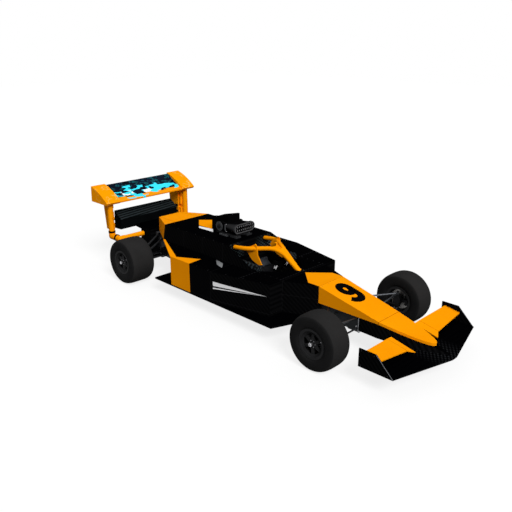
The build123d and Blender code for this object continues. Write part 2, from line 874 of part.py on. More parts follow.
def rear_rim_left():
    """The rear rim with the stub that turns in the upright."""
    disc_y = rear_upright_y[1] + disc_gap - rear_wheel_y
    wheel = Pos(rear_axle_x, rear_wheel_y, axle_z) * rim(rear_tyre_width, shaft_radius, disc_y)
    stub = rod((rear_axle_x, shaft_end_y, axle_z), (rear_axle_x, rear_stub_end_y, axle_z),
               rear_stub_radius)
    return wheel + stub


def drive_shaft_left():
    """The shaft from the gearbox outlet to the rear wheel's stub."""
    step_y = lug_half_y + 40
    inner = rod((rear_axle_x, shaft_seat_y + 5, axle_z), (rear_axle_x, step_y, axle_z), shaft_radius)
    outer = rod((rear_axle_x, step_y, axle_z), (rear_axle_x, shaft_end_y, axle_z), shaft_radius - 3)
    return inner + outer


# Writing the parts: single pieces first, then the pieces that come in left and right pairs

single_parts = [
    monocoque, nose_cone, nose_keel, suspension_block, floor, front_wing_plane, front_wing_endplates,
    front_wing_flaps, engine_cover, tail_cover, engine_block, gearbox, intake_scoop, blower, seat,
    cockpit_padding, steering_wheel, dash, halo, rear_crash_box, rear_wing_plane, rear_wing_caps,
    rear_wing_fins, beam_wing, rear_wing_strut,
]
left_parts = [
    sidepod_left, rear_wing_post_left, front_arms_left, front_upright_left, rear_arms_left,
    rear_upright_left, front_tyre_left, front_rim_left, rear_tyre_left, rear_rim_left,
    drive_shaft_left,
]


def write(name, shape):
    """Write one part, moved to the car's own origin."""
    shape = Part() + shape
    export_step(Pos(front_axle_x, 0, 0) * shape, f"parts/{name}.step")


os.makedirs("parts", exist_ok=True)
for make in single_parts:
    write(make.__name__, make())
for make in left_parts:
    left = make()
    write(make.__name__, left)
    write(make.__name__.replace("_left", "_right"), mirrored(left))
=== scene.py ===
import math

import bmesh
import bpy
import numpy as np
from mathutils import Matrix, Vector
from mathutils.bvhtree import BVHTree


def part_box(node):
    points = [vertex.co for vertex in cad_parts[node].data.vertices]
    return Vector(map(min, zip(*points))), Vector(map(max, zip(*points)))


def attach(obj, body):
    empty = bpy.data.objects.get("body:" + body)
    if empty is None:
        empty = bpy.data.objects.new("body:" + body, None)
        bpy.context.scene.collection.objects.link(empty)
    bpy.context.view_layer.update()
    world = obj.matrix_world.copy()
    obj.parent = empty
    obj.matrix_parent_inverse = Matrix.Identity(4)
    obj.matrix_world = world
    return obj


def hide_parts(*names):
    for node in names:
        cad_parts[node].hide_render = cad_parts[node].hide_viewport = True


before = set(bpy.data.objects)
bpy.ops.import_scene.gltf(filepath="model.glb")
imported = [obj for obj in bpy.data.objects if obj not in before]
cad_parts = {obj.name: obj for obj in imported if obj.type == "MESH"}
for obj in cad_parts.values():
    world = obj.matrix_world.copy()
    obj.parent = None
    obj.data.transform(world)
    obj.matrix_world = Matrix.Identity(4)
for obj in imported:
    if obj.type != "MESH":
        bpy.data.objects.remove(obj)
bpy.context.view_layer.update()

# Camera. It stands ahead of the car's right front wheel, a little above the car, and looks at a
# point low between the axles. Its lens is of ordinary length, so the far wheels stay nearly as
# large as the near ones.
front_tyre_low, front_tyre_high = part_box("front_tyre_left")
front_axle_x = (front_tyre_low.x + front_tyre_high.x) / 2
view_target = Vector((front_axle_x - 2.3194, 0.4914, 0.4))
view_azimuth = math.radians(-45)
view_elevation = math.radians(19.579)
view_distance = 9.216
lens_length = 43.456
sensor_width = 36
towards_camera = Vector((
    math.cos(view_elevation) * math.cos(view_azimuth),
    math.cos(view_elevation) * math.sin(view_azimuth),
    math.sin(view_elevation),
))
camera = bpy.data.objects.new("camera", bpy.data.cameras.new("camera"))
camera.data.lens = lens_length
camera.data.sensor_width = sensor_width
camera.location = view_target + view_distance * towards_camera
camera.rotation_euler = towards_camera.to_track_quat("Z", "Y").to_euler()
bpy.context.scene.collection.objects.link(camera)
bpy.context.scene.camera = camera
bpy.context.scene.view_settings.view_transform = "Standard"


# Studio. A wide pale floor, one soft lamp ahead of the car and well above it, and a sky that is
# brightest overhead. What looks at the sky or the floor directly or in a mirror sees plain white.
class Value:
    """One output of a finish's nodes. Arithmetic on values adds the Math nodes that do it."""

    def __init__(self, finish, socket):
        self.finish = finish
        self.socket = socket

    def math(self, operation, *operands, clamp=False):
        settings = {"operation": operation, "use_clamp": clamp}
        return self.finish.node("ShaderNodeMath", settings, dict(enumerate(operands)))

    def __add__(self, other):
        return self.math("ADD", self, other)

    def __sub__(self, other):
        return self.math("SUBTRACT", self, other)

    def __rsub__(self, other):
        return self.math("SUBTRACT", other, self)

    def __mul__(self, other):
        return self.math("MULTIPLY", self, other)

    def __truediv__(self, other):
        return self.math("DIVIDE", self, other)

    __radd__ = __add__
    __rmul__ = __mul__

    def beyond(self, edge, blur=0.002):
        """1 where the value is past an edge and 0 before it, with a thin ramp between them."""
        return self.math("MULTIPLY_ADD", self, 1 / blur, 0.5 - edge * (1 / blur), clamp=True)

    def size(self):
        """The value without its sign."""
        return self.math("ABSOLUTE", self)

    def near(self, place, reach, blur=0.001):
        """1 within a reach of a place and 0 further off, with a thin ramp between them."""
        return 1 - (self - place).size().beyond(reach, blur)

    def within(self, low, high, blur=0.002):
        """1 between two values and 0 outside them."""
        return self.near((low + high) / 2, (high - low) / 2, blur)

    def any(self, other):
        """The larger of two masks."""
        return self.math("MAXIMUM", self, other)

    def least(self, other):
        """The smaller of two values."""
        return self.math("MINIMUM", self, other)

    def rise(self, pace):
        """The value times a pace, held between 0 and 1."""
        return self.math("MULTIPLY", self, pace, clamp=True)

    def sine(self):
        """The sine of the value, taken in radians."""
        return self.math("SINE", self)

    def dashed(self, pitch, share):
        """1 along a share of every pitch and 0 between."""
        return self.math("PINGPONG", self, pitch / 2).beyond(pitch / 2 * (1 - share), 0.001)

    def part(self, name):
        """Another output of the same node, such as Y of a separated vector."""
        return Value(self.finish, self.socket.node.outputs[name])


class Finish:
    """One material. What is the same all over it goes on its shader's own sockets."""

    def __init__(self, name, tree=None, **sockets):
        if tree is None:
            self.material = bpy.data.materials.new(name)
            self.material.use_nodes = True
            tree = self.material.node_tree
            self.shader = tree.nodes["Principled BSDF"]
        self.tree = tree
        for socket, value in sockets.items():
            self.set(socket.replace("_", " "), value)

    def node(self, kind, settings, sockets, output=0):
        """Add one node: its settings first, then the values or links of its sockets."""
        made = self.tree.nodes.new(kind)
        for name, value in settings.items():
            setattr(made, name, value)
        for socket, value in sockets.items():
            if isinstance(value, Value):
                self.tree.links.new(value.socket, made.inputs[socket])
            else:
                made.inputs[socket].default_value = value
        return Value(self, made.outputs[output])

    def set(self, socket, value):
        """Give one of the shader's own sockets a number, a colour or a link."""
        if isinstance(value, Value):
            self.tree.links.new(value.socket, self.shader.inputs[socket])
        else:
            self.shader.inputs[socket].default_value = value

    def mix(self, mask, low, high):
        """The colour low where the mask is 0 and high where it is 1."""
        sockets = {0: mask, 6: low, 7: high}
        return self.node("ShaderNodeMix", {"data_type": "RGBA"}, sockets, output=2)

    def axes(self, kind="Object"):
        """The place on the object, and its x, y and z. In a sky, Generated is the direction."""
        place = self.node("ShaderNodeTexCoord", {}, {}, output=kind)
        x = self.node("ShaderNodeSeparateXYZ", {}, {0: place})
        return place, x, x.part("Y"), x.part("Z")

    def noise(self, place, scale, detail=3, roughness=0.5):
        """Soft noise from 0 to 1 with features about 1 / scale metres wide."""
        sockets = {"Vector": place, "Scale": scale, "Detail": detail, "Roughness": roughness}
        return self.node("ShaderNodeTexNoise", {}, sockets)

    def cells(self, place, scale, output=0, **settings):
        """Voronoi cells about 1 / scale metres wide, or what another output says of them."""
        sockets = {"Vector": place, "Scale": scale}
        return self.node("ShaderNodeTexVoronoi", settings, sockets, output)

    def facing(self, axis):
        """1 on faces square to an axis, 0 on faces along it."""
        normal = self.node("ShaderNodeNewGeometry", {}, {}, output="True Normal")
        share = self.node("ShaderNodeSeparateXYZ", {}, {0: normal}, output=axis)
        return share.size().beyond(0.8, 0.2)

    def bump(self, height, distance):
        """Feed the normal with a height from 0 to 1 over a distance in metres."""
        sockets = {"Height": height, "Distance": distance}
        self.set("Normal", self.node("ShaderNodeBump", {}, sockets))


def display(red, green, blue):
    """The shader's linear colour for a colour given as it shows on a display, from 0 to 255."""
    levels = np.array([red, green, blue]) / 255
    linear = np.where(levels > 0.04045, ((levels + 0.055) / 1.055) ** 2.4, levels / 12.92)
    return (*linear.tolist(), 1.0)


def grid_faces(rows, columns, closed_rows=False, closed_columns=False):
    """The four-sided faces between neighbours on a grid of points, as rows of point numbers."""
    index = np.arange(rows * columns).reshape(rows, columns)
    if closed_rows:
        index = np.vstack([index, index[:1]])
    if closed_columns:
        index = np.hstack([index, index[:, :1]])
    corners = [index[:-1, :-1], index[:-1, 1:], index[1:, 1:], index[1:, :-1]]
    return np.stack(corners, axis=-1).reshape(-1, 4)


def skin(name, points, closed_rows=False, closed_columns=False, sharp=40):
    """A mesh over grids of points. The last three axes are rows, columns and x, y, z; an axis
    before them counts copies. Points that coincide are merged, so poles and seams are closed."""
    points = np.asarray(points, float)
    rows, columns = points.shape[-3:-1]
    points = points.reshape(-1, rows, columns, 3)
    faces = grid_faces(rows, columns, closed_rows, closed_columns)
    faces = (faces[None] + np.arange(len(points))[:, None, None] * rows * columns).reshape(-1, 4)
    mesh = bpy.data.meshes.new(name)
    mesh.vertices.add(points.size // 3)
    mesh.vertices.foreach_set("co", points.ravel())
    mesh.loops.add(faces.size)
    mesh.loops.foreach_set("vertex_index", faces.ravel())
    mesh.polygons.add(len(faces))
    mesh.polygons.foreach_set("loop_start", np.arange(0, faces.size, 4))
    mesh.update(calc_edges=True)
    form = bmesh.new()
    form.from_mesh(mesh)
    bmesh.ops.remove_doubles(form, verts=form.verts, dist=1e-5)
    bmesh.ops.recalc_face_normals(form, faces=form.faces)
    form.to_mesh(mesh)
    form.free()
    mesh.shade_smooth()
    mesh.set_sharp_from_angle(angle=math.radians(sharp))
    piece = bpy.data.objects.new(name, mesh)
    bpy.context.scene.collection.objects.link(piece)
    return piece


def dress(finish, *nodes):
    """Give CAD pieces a finish."""
    for node in nodes:
        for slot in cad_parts[node].material_slots:
            slot.material = finish.material


def fit(piece, finish, body):
    """Give a new piece its finish and the body it rides on."""
    piece.data.materials.append(finish.material)
    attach(piece, body)
    return piece


floor_half = 40.0
floor_tint = (0.22, 0.22, 0.22, 1)
floor_glow = 0.80
horizon_light = 0.03
zenith_light = 0.57
lamp_strength = 2.8
lamp_spread = math.radians(25)
lamp_from = (0.58, -0.24, 0.53)

studio_floor = Finish("studio_floor", Base_Color=floor_tint, Roughness=1.0, Specular_IOR_Level=0.0,
                      Emission_Strength=floor_glow)
rays = studio_floor.node("ShaderNodeLightPath", {}, {}, output="Is Camera Ray")
seen = rays.any(rays.part("Is Glossy Ray"))
studio_floor.set("Emission Color", studio_floor.mix(seen, (0, 0, 0, 1), (1, 1, 1, 1)))
corner = np.array([-floor_half, floor_half])
floor_grid = np.stack([*np.meshgrid(corner, corner, indexing="ij"), np.zeros((2, 2))], axis=-1)
ground = skin("studio_floor", floor_grid)
ground.data.materials.append(studio_floor.material)

world = bpy.data.worlds.new("studio")
world.use_nodes = True
bpy.context.scene.world = world
sky = Finish("sky", tree=world.node_tree)
rays = sky.node("ShaderNodeLightPath", {}, {}, output="Is Camera Ray")
seen = rays.any(rays.part("Is Glossy Ray")).any(rays.part("Is Transmission Ray"))
background = world.node_tree.nodes["Background"]
background.inputs["Strength"].default_value = 1.0
overhead = sky.axes("Generated")[3].any(0.0)
glow = sky.mix(overhead, (horizon_light,) * 3 + (1,), (zenith_light,) * 3 + (1,))
sky_colour = sky.mix(seen, glow, (1, 1, 1, 1))
world.node_tree.links.new(sky_colour.socket, background.inputs["Color"])

lamp = bpy.data.objects.new("high_lamp", bpy.data.lights.new("high_lamp", "SUN"))
lamp.data.energy = lamp_strength
lamp.data.angle = lamp_spread
lamp.rotation_euler = Vector(lamp_from).to_track_quat("Z", "Y").to_euler()
bpy.context.scene.collection.objects.link(lamp)


# Tub. A deep hull moulded in black twill composite and lacquered satin, with a sprayed orange
# tongue that runs on from the nose. The panels end in fine seams, held by small flush screws.
twill_pitch = 0.062
orange = display(255, 158, 4)
deep_orange = display(249, 150, 2)
orange_seam = display(188, 104, 2)
black_low = display(1, 1, 2)
black_high = display(16, 16, 17)
# Seams on the black are painted pale: a painted highlight along each seam.
seam_highlight = display(46, 46, 48)


def body_axes(finish):
    """The place, the station ahead of the front axle, y, and the height."""
    place, x, y, z = finish.axes()
    return place, x - front_axle_x, y, z


def paint_colour(finish, place):
    """Orange paint that is a touch deeper in broad soft patches, and dusty in fine specks."""
    patches = finish.noise(place, 2.5)
    specks = finish.noise(place, 140.0, detail=2, roughness=0.7).beyond(0.66, 0.1)
    colour = finish.mix(patches.beyond(0.5, 0.5), orange, deep_orange)
    return finish.mix(specks * 0.05, colour, display(236, 190, 120))


def painted_composite(name, orange_where=None, seams=None, trims=()):
    """Twill composite, painted orange where a mask says so. Every mask is a function of station,
    y and height.

    The twill is a sine of x + z, which slants on every upright side of the body, times a second
    one of x - z, which cuts the slanting tows into dashes. On faces that look up or down the twill
    is painted nearly as dark as the black: painted shade, so light from above leaves them as dark
    as the sides. Seams are thin grooves, painted pale on the black as a painted highlight, and
    dark with dirt on the orange.
    Each trim is a mask and its colour.
    """
    finish = Finish(name, Specular_IOR_Level=0.0001)
    place, station, y, height = body_axes(finish)
    turns = 2 * math.pi / twill_pitch
    along = (station + height) * turns
    across = (station - height) * (turns / 2)
    weave = along.sine() * (across.sine() * 0.25 + 0.75) * 0.5 + 0.5
    wear = finish.noise(place, 4.0, detail=5)
    # Painted shade: faces that look up or down get a darker twill, so light from above leaves them
    # as dark as the sides.
    shown = (weave * 0.75 + wear * 0.25) * (1 - finish.facing("Z") * 0.9)
    base = finish.mix(shown, black_low, black_high)
    roughness = 0.55 - weave * 0.12 + wear * 0.1
    # The seam colour is a painted highlight on the black and a dark joint on the orange.
    seam_highlight_and_joint = seam_highlight
    if orange_where is not None:
        mask = orange_where(station, y, height)
        base = finish.mix(mask, base, paint_colour(finish, place))
        seam_highlight_and_joint = finish.mix(mask, seam_highlight, orange_seam)
        roughness = roughness + mask * (0.40 - roughness)
        weave = weave * (1 - mask)
    for trim, trim_colour in trims:
        mask = trim(station, y, height)
        base = finish.mix(mask, base, display(*trim_colour))
        weave = weave * (1 - mask)
    if seams is not None:
        groove = seams(station, y, height)
        base = finish.mix(groove, base, seam_highlight_and_joint)
        weave = weave * (1 - groove) - groove * 2
    finish.set("Base Color", base)
    finish.set("Roughness", roughness)
    finish.bump(weave, 0.0004)
    return finish


def orange_paint(name, seams=None):
    """Orange paint all over, with the faint ripple that spraying leaves and dark fine seams."""
    finish = Finish(name, Specular_IOR_Level=0.001)
    place, station, y, height = body_axes(finish)
    base = paint_colour(finish, place)
    ripple = finish.noise(place, 220.0, detail=1)
    if seams is not None:
        groove = seams(station, y, height)
        base = finish.mix(groove, base, orange_seam)
        ripple = ripple - groove * 8
    finish.set("Base Color", base)
    finish.set("Roughness", finish.noise(place, 5.0) * 0.12 + 0.32)
    finish.bump(ripple, 0.0001)
    return finish


tongue_half = 0.235
tongue_rear = -0.94
tongue_slope = 0.94
tongue_low = 0.6
tongue_flange = (-0.500, 0.33)
deck_seams = (-1.395, -0.990)
seam_dash = (0.048, 0.6)
pod_seam = -0.949
rim_seam_z = 0.47
seam_half = 0.0035
seam_fine = 0.00175
seam_faint = 0.4


def tongue(station, y, height):
    """The orange on the deck, as wide as the nose and then a point that reaches back, and the
    narrow flange where the nose is bolted on."""
    half = (station - tongue_rear) * tongue_slope
    inside = (half.least(tongue_half) - y.size()).beyond(0.0) * height.beyond(tongue_low)
    flange_station, flange_low = tongue_flange
    return inside.any(station.beyond(flange_station) * height.beyond(flange_low))


def tub_seams(station, y, height):
    """Two dashed seams across the deck, and fine ones below the rim and ahead of the pods."""
    rear, front = (station.near(at, seam_half) for at in deck_seams)
    fine = height.near(rim_seam_z, seam_fine).any(station.near(pod_seam, seam_fine))
    return (rear.any(front) * y.dashed(*seam_dash)).any(fine * seam_faint)


dress(painted_composite("tub_composite", tongue, tub_seams), "monocoque")


def turned(profile, centres, axes, count):
    """Bodies turned about axes: a profile of (height along the axis, radius) pairs, one body at
    each centre. Each ring is the centre plus the height along the axis plus the radius times
    the cosine and sine of the angle in the plane across it."""
    centres, axes = np.broadcast_arrays(np.atleast_2d(centres).astype(float), np.atleast_2d(axes))
    axes = axes / np.linalg.norm(axes, axis=1, keepdims=True)
    helper = np.where(np.abs(axes[:, 2:]) > 0.9, [[1.0, 0, 0]], [[0, 0, 1.0]])
    first = np.cross(helper, axes)
    first /= np.linalg.norm(first, axis=1, keepdims=True)
    second = np.cross(axes, first)
    angle = np.linspace(0, 2 * math.pi, count, endpoint=False)[None, None, :, None]
    height, radius = np.asarray(profile, float).T
    across = np.cos(angle) * first[:, None, None] + np.sin(angle) * second[:, None, None]
    along = height[None, :, None, None] * axes[:, None, None]
    return centres[:, None, None] + along + radius[None, :, None, None] * across


def lathed(name, profile, centres, axes, count, finish, slot="machined_metal", body="chassis",
           **form):
    """Bodies turned from one profile as one piece, with its finish and body. The slot is not used.
    """
    piece = skin(name, turned(profile, centres, axes, count), closed_columns=True, **form)
    return fit(piece, finish, body)


def from_axle(*points):
    """Points given as station ahead of the front axle, y and z."""
    return np.atleast_2d(np.array(points, float)) + [front_axle_x, 0, 0]


def both(points):
    """Points with their copies on the other side of the car."""
    points = np.atleast_2d(points)
    return np.concatenate([points, points * [1, -1, 1]])


def outward_pairs(points):
    """Points with their copies on the other side, and for each the axis that points outwards."""
    return both(points), both(np.broadcast_to((0, 1, 0), np.shape(points)))


def metal(name, level, roughness, shine=1.0, grain_scale=400.0):
    """Bare or coated metal: a grey level with soft stains, and a fine grain from machining."""
    finish = Finish(name, Metallic=shine, Specular_IOR_Level=0.2 * shine)
    place = finish.axes()[0]
    stains = finish.noise(place, 12.0, detail=4)
    grain = finish.noise(place, grain_scale, detail=2)
    dark = display(*(np.array(level) * 0.72))
    finish.set("Base Color", finish.mix(stains, dark, display(*level)))
    finish.set("Roughness", stains * 0.2 + grain * 0.08 + roughness)
    finish.bump(grain, 0.00005)
    return finish


screw_metal = metal("screw_metal", (66, 66, 68), 0.35)
bolt_steel = metal("bolt_steel", (168, 168, 172), 0.30)
screw_radius = 0.004


def screws(name, centres, axes=(0, 0, 1), radius=screw_radius, finish=screw_metal, body="chassis"):
    """Low domed screw heads with a chamfered rim, seated a quarter radius into their surface."""
    profile = radius * np.array([(-0.25, 0), (-0.25, 1), (0.15, 1), (0.32, 0.8), (0.42, 0.45),
                                 (0.45, 0)])
    lathed(name, profile, centres, axes, 12, finish, body=body)


deck_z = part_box("monocoque")[1].z
screws("tongue_screws", both(from_axle((-0.60, 0.222, deck_z), (-0.74, 0.17, deck_z),
                                       (-0.86, 0.058, deck_z))))
screws("rim_screws", both(from_axle(*[(x, 0.412, deck_z) for x in np.linspace(-1.05, -1.35, 4)])))


# Pods. Each side pod is one black composite panel that flares out and runs straight back, with an
# orange rear, a plain white stripe along its side and a small pale access cover on its deck.
flare_seam = -1.820
foot_seam_z = 0.262
stripe_rear = -1.78
stripe_front = -1.00
stripe_z = 0.490
stripe_reach = 0.030
thin_stripe_reach = 0.009
stripe_drop = 0.062

# The edges of the orange on the pods: (station, y, slope)
orange_inner = (-2.264, 0.618, 0.5765)
orange_outer = (-2.571, 0.795, 0.4953)
orange_front = (-2.24, 0.842, 0.107)


def pod_orange(station, y, height):
    """The orange rear of the pods, which runs over the deck in two slanted edges."""
    side = y.size()
    at, edge, slope = orange_inner
    inner = (at - station) * slope + edge
    at, edge, slope = orange_outer
    outer = edge - (at - station) * slope
    at, edge, slope = orange_front
    behind = 1 - (station + (edge - side) * slope).beyond(at)
    return (side - inner.least(outer)).beyond(0.0) * behind


def pod_seams(station, y, height):
    """An upright seam where the flare ends, one across the deck and one at the foot."""
    fine = station.near(flare_seam, seam_fine).any(height.near(foot_seam_z, seam_fine))
    across = station.near(deck_seams[0], seam_half) * height.beyond(deck_z - 0.002)
    return (across * y.dashed(*seam_dash)).any(fine * seam_faint)


def pod_stripe(station, y, height):
    """A stripe along the side that thins to a point ahead, with a thinner one below it."""
    share = (stripe_front - station) / (stripe_front - stripe_rear)
    drop = height - stripe_z
    thick = (share * stripe_reach - drop.size()).beyond(0.0)
    thin = (share * thin_stripe_reach - (drop + stripe_drop * share).size()).beyond(0.0)
    return thick.any(thin) * station.within(stripe_rear, stripe_front)


pods = ("sidepod_left", "sidepod_right")
print_white = (238, 238, 240)
dress(painted_composite("pod_composite", pod_orange, pod_seams, [(pod_stripe, print_white)]), *pods)
plain_composite = painted_composite("plain_composite")
dress(plain_composite, "floor")


def plates(name, outlines, levels):
    """Thin plates from closed outlines. Each level is (share of the outline's size, offset), and
    its ring is the outline drawn in towards its middle by the share and moved by the offset."""
    outlines = np.asarray(outlines, float)
    middle = outlines.mean(axis=1, keepdims=True)
    rings = [middle + (outlines - middle) * share + offset for share, offset in levels]
    return skin(name, np.stack(rings, axis=1), closed_columns=True)


def pair(outline):
    """A closed outline and its mirror image, which runs the same way round."""
    return [outline, (outline * [1, -1, 1])[::-1]]


def upward(*heights):
    """Plate levels that rise along z: closed at the foot, full, slightly drawn in and closed."""
    low, edge, top = (np.array([0, 0, height]) for height in heights)
    return [(0, low), (1, low), (1, edge), (0.97, top), (0, top)]


cover_outline = from_axle((-2.085, 0.502, deck_z), (-1.953, 0.607, deck_z), (-1.813, 0.644, deck_z),
                          (-1.913, 0.531, deck_z), (-2.011, 0.502, deck_z))
cover_plate = Finish("cover_plate", Specular_IOR_Level=0.1)
place = cover_plate.axes()[0]
cover_stain = cover_plate.noise(place, 18.0, detail=5)
cover_greys = display(104, 106, 108), display(140, 142, 144)
cover_plate.set("Base Color", cover_plate.mix(cover_stain, *cover_greys))
cover_plate.set("Roughness", cover_stain * 0.25 + 0.35)
cover_plate.bump(cover_plate.noise(place, 300.0), 0.0001)
cover_thick = 0.004
covers = plates("deck_covers", pair(cover_outline), upward(-0.002, 0.003, cover_thick))
fit(covers, cover_plate, "chassis")
cover_middle = cover_outline.mean(axis=0)
cover_screws = cover_middle + (cover_outline[[0, 2]] - cover_middle) * 0.8 + [0, 0, cover_thick]
screws("deck_cover_screws", both(cover_screws))
pod_screws = from_axle(*[(x, 0.36 - x * 0.242 + 0.02, deck_z) for x in (-1.1, -1.35, -1.6)],
                       *[(x, 0.822, deck_z) for x in (-1.88, -2.1)])
screws("pod_screws", both(pod_screws))


# Nose. A long composite wedge over the driver's legs, sprayed orange, with a rounded blade ahead
# of its crease. A plain black 9 is laid on the wedge as a thin film.
nose_seams_at = (-0.521, 0.333)
wedge_start = -0.521
wedge_fall = 0.2342
digit_thick = 0.0012
digit_sunk = 0.0005
stroke_half = 0.047
ring_centre = (-0.310, 0.018)
ring_radii = (0.084, 0.071)
stem_y = 0.090
hook = ((-0.200, stem_y), (-0.052, 0.098), (-0.052, -0.045), (-0.137, -0.092))


def nose_seams(station, y, height):
    """The joint behind the wedge and the joint of the blade at the crease."""
    rear, front = nose_seams_at
    return station.near(rear, seam_half).any(station.near(front, seam_half))


def on_wedge(flat):
    """Points (station, y, lift) laid on the wedge's sloping top."""
    station, y, lift = np.moveaxis(np.asarray(flat, float), -1, 0)
    height = deck_z - (station - wedge_start) * wedge_fall + lift
    return np.stack([station + front_axle_x, y, height], axis=-1)


def stroke(line, closed):
    """A flat stroke round a plan line: four rings, at half a width to either side of the line and
    at two lifts. Sideways is the line's tangent turned by a right angle."""
    half = stroke_half
    line = np.asarray(line, float)
    step = np.gradient(np.concatenate([line[-2:-1], line, line[1:2]]) if closed else line, axis=0)
    step = step[1:-1] if closed else step
    sideways = step[:, ::-1] * [1, -1] / np.linalg.norm(step, axis=1, keepdims=True)
    corners = [(-half, -digit_sunk), (half, -digit_sunk), (half, digit_thick), (-half, digit_thick)]
    rings = [np.column_stack([line + sideways * offset, np.full(len(line), lift)])
             for offset, lift in corners]
    if not closed:
        rings = [np.concatenate([ring[:1], ring, ring[-1:]]) for ring in rings]
        middle = np.mean(rings, axis=0)
        rings = [np.concatenate([middle[:1], ring[1:-1], middle[-1:]]) for ring in rings]
    return np.stack(rings, axis=1)


turn = np.linspace(0, 2 * math.pi, 49)
ring_line = np.column_stack([ring_centre[0] + ring_radii[0] * np.cos(turn),
                             ring_centre[1] + ring_radii[1] * np.sin(turn)])
# The hook is a cubic curve: its four corners, weighed by powers of the share along it
share = np.linspace(0, 1, 25)[:, None]
hook = np.array(hook)
hook_line = ((1 - share) ** 3 * hook[0] + 3 * (1 - share) ** 2 * share * hook[1]
             + 3 * (1 - share) * share ** 2 * hook[2] + share ** 3 * hook[3])
stem_line = np.column_stack([np.linspace(ring_centre[0], hook[0][0], 6)[:-1], np.full(5, stem_y)])
tail_line = np.concatenate([stem_line, hook_line])

film = Finish("digit_film", Specular_IOR_Level=0.002)
place = film.axes()[0]
film_wear = film.noise(place, 60.0, detail=4)
film.set("Base Color", film.mix(film_wear, display(1, 1, 1), display(9, 8, 8)))
film.set("Roughness", film_wear * 0.2 + 0.35)
film.bump(film_wear, 0.00008)
for name, line, closed in (("digit_ring", ring_line, True), ("digit_tail", tail_line, False)):
    digit = skin(name, on_wedge(stroke(line, closed)), closed_columns=True)
    fit(digit, film, "chassis")
dress(orange_paint("nose_paint", nose_seams), "nose_cone")
nose_screws = on_wedge([(-0.50, 0.20, 0), (-0.50, 0.07, 0), (0.31, 0.17, 0), (0.31, 0.06, 0)])
screws("nose_screws", both(nose_screws), (wedge_fall, 0, 1), 0.0035)


# Front suspension. The dark lower nose and a cast bulkhead block hang below the wedge. Coated
# steel wishbones and push rods are bolted to the block and hold dark machined uprights.
dress(plain_composite, "nose_keel")
block_flange_x = front_axle_x + 0.056


def cast_metal(name, level, edge_level, bright_where, shine=0.9):
    """Coated casting: dark, pitted, and brighter where a mask of x, y and z says so: worn and bare
    metal on most castings, painted highlights on the scoop.
    """
    finish = Finish(name, Metallic=shine, Specular_IOR_Level=0.2 * shine)
    place, x, y, z = finish.axes()
    pits = finish.noise(place, 90.0, detail=4, roughness=0.7)
    stains = finish.noise(place, 9.0, detail=4)
    dark = display(*(np.array(level) * 0.7))
    # Brighter where the mask says so: wear and bare metal, and on the scoop painted highlights.
    worn = bright_where(x, y, z) * (stains * 0.5 + 0.5)
    base = finish.mix(worn, finish.mix(stains, dark, display(*level)), display(*edge_level))
    finish.set("Base Color", base)
    finish.set("Roughness", pits * 0.25 + 0.35)
    finish.bump(pits, 0.0005)
    return finish


def flange_edge(x, y, z):
    """The machined flange at the block's front."""
    return x.beyond(block_flange_x)


block_casting = cast_metal("block_casting", (36, 38, 40), (190, 192, 196), flange_edge)
dress(block_casting, "suspension_block")
arm_coat = metal("arm_coat", (82, 84, 88), 0.32)
shaft_steel = metal("shaft_steel", (34, 34, 36), 0.40)
dress(shaft_steel, "front_upright_left", "front_upright_right")
dress(arm_coat, "front_arms_left", "front_arms_right")
block_bolts = from_axle(*[(0.063, 0.197, z) for z in (0.24, 0.30, 0.36, 0.41)])
screws("flange_bolts", both(block_bolts) + [0.007, 0, 0], (1, 0, 0), 0.0065, bolt_steel)


def hex_bolts(name, centres, size, finish):
    """Upright bolts: a six-sided head with a chamfered rim, on a round washer."""
    washer = size * np.array([(-0.4, 0), (-0.4, 1.3), (0.12, 1.3), (0.12, 0)])
    head = size * np.array([(0.12, 0), (0.12, 1), (0.70, 1), (0.82, 0.86), (0.82, 0)])
    lathed(name + "_heads", head, centres, (0, 0, 1), 6, finish, sharp=25)
    lathed(name + "_washers", washer, centres, (0, 0, 1), 20, finish)


arm_ends = from_axle(*[(x, 0.190, z) for x in (-0.400, 0.030) for z in (0.395, 0.262)])
hex_bolts("wishbone_bolts", both(arm_ends + [0, 0.006, 0.030]), 0.011, bolt_steel)


# Front wing. A swept composite plane with raked endplates carries two orange flaps. A pale line
# along the endplates' front edges is a painted highlight.
plate_corner = (0.967, 0.235)
plate_rake = (0.697, 0.717)
edge_highlight_width = 0.0012
plate_outer_y = 0.851
flap_joint_y = 0.838
flap_fold_y = 0.330
chin_half = 0.30
dash_step = 0.064
row_step = 0.044
fade_pace = 4.0


def endplate_edge_highlight(station, y, height):
    """A painted highlight on the outer half of the endplates' raked front edge, measured square to
    it.
    """
    ahead = (station - plate_corner[0]) * plate_rake[0] + (height - plate_corner[1]) * plate_rake[1]
    return ahead.beyond(-edge_highlight_width, 0.0008) * y.size().beyond(plate_outer_y)


def flap_tips(station, y, height):
    """A thin joint beside the endplates and one at the fold near the nose."""
    side = y.size()
    return side.near(flap_joint_y, seam_half).any(side.near(flap_fold_y, seam_half * 0.7))


# The endplates' pale trim is a painted highlight along their front edges.
endplate_composite = painted_composite("endplate_composite", trims=[(endplate_edge_highlight, (104, 106, 110))])
dress(endplate_composite, "front_wing_endplates")


def staggered(along, height):
    """Short dashes in rows, where every other row is shifted by half a step."""
    first = along.dashed(dash_step, 0.4) * height.dashed(row_step, 0.35)
    along, height = along + dash_step / 2, height + row_step / 2
    return first.any(along.dashed(dash_step, 0.4) * height.dashed(row_step, 0.35))


def chin_weave(station, y, height):
    """The bare coarse weave in the middle of the wing, which fades outwards."""
    return staggered(y, station) * (chin_half - y.size()).rise(fade_pace)


wing_composite = painted_composite("wing_composite", trims=[(chin_weave, (34, 35, 37))])
dress(wing_composite, "front_wing_plane")
dress(orange_paint("flap_paint", flap_tips), "front_wing_flaps")
plate_screws = [(0.57, 0.425), (0.73, 0.425), (0.57, 0.26), (0.90, 0.26)]
screws("endplate_screws", *outward_pairs(from_axle(*[(x, 0.858, z) for x, z in plate_screws])))


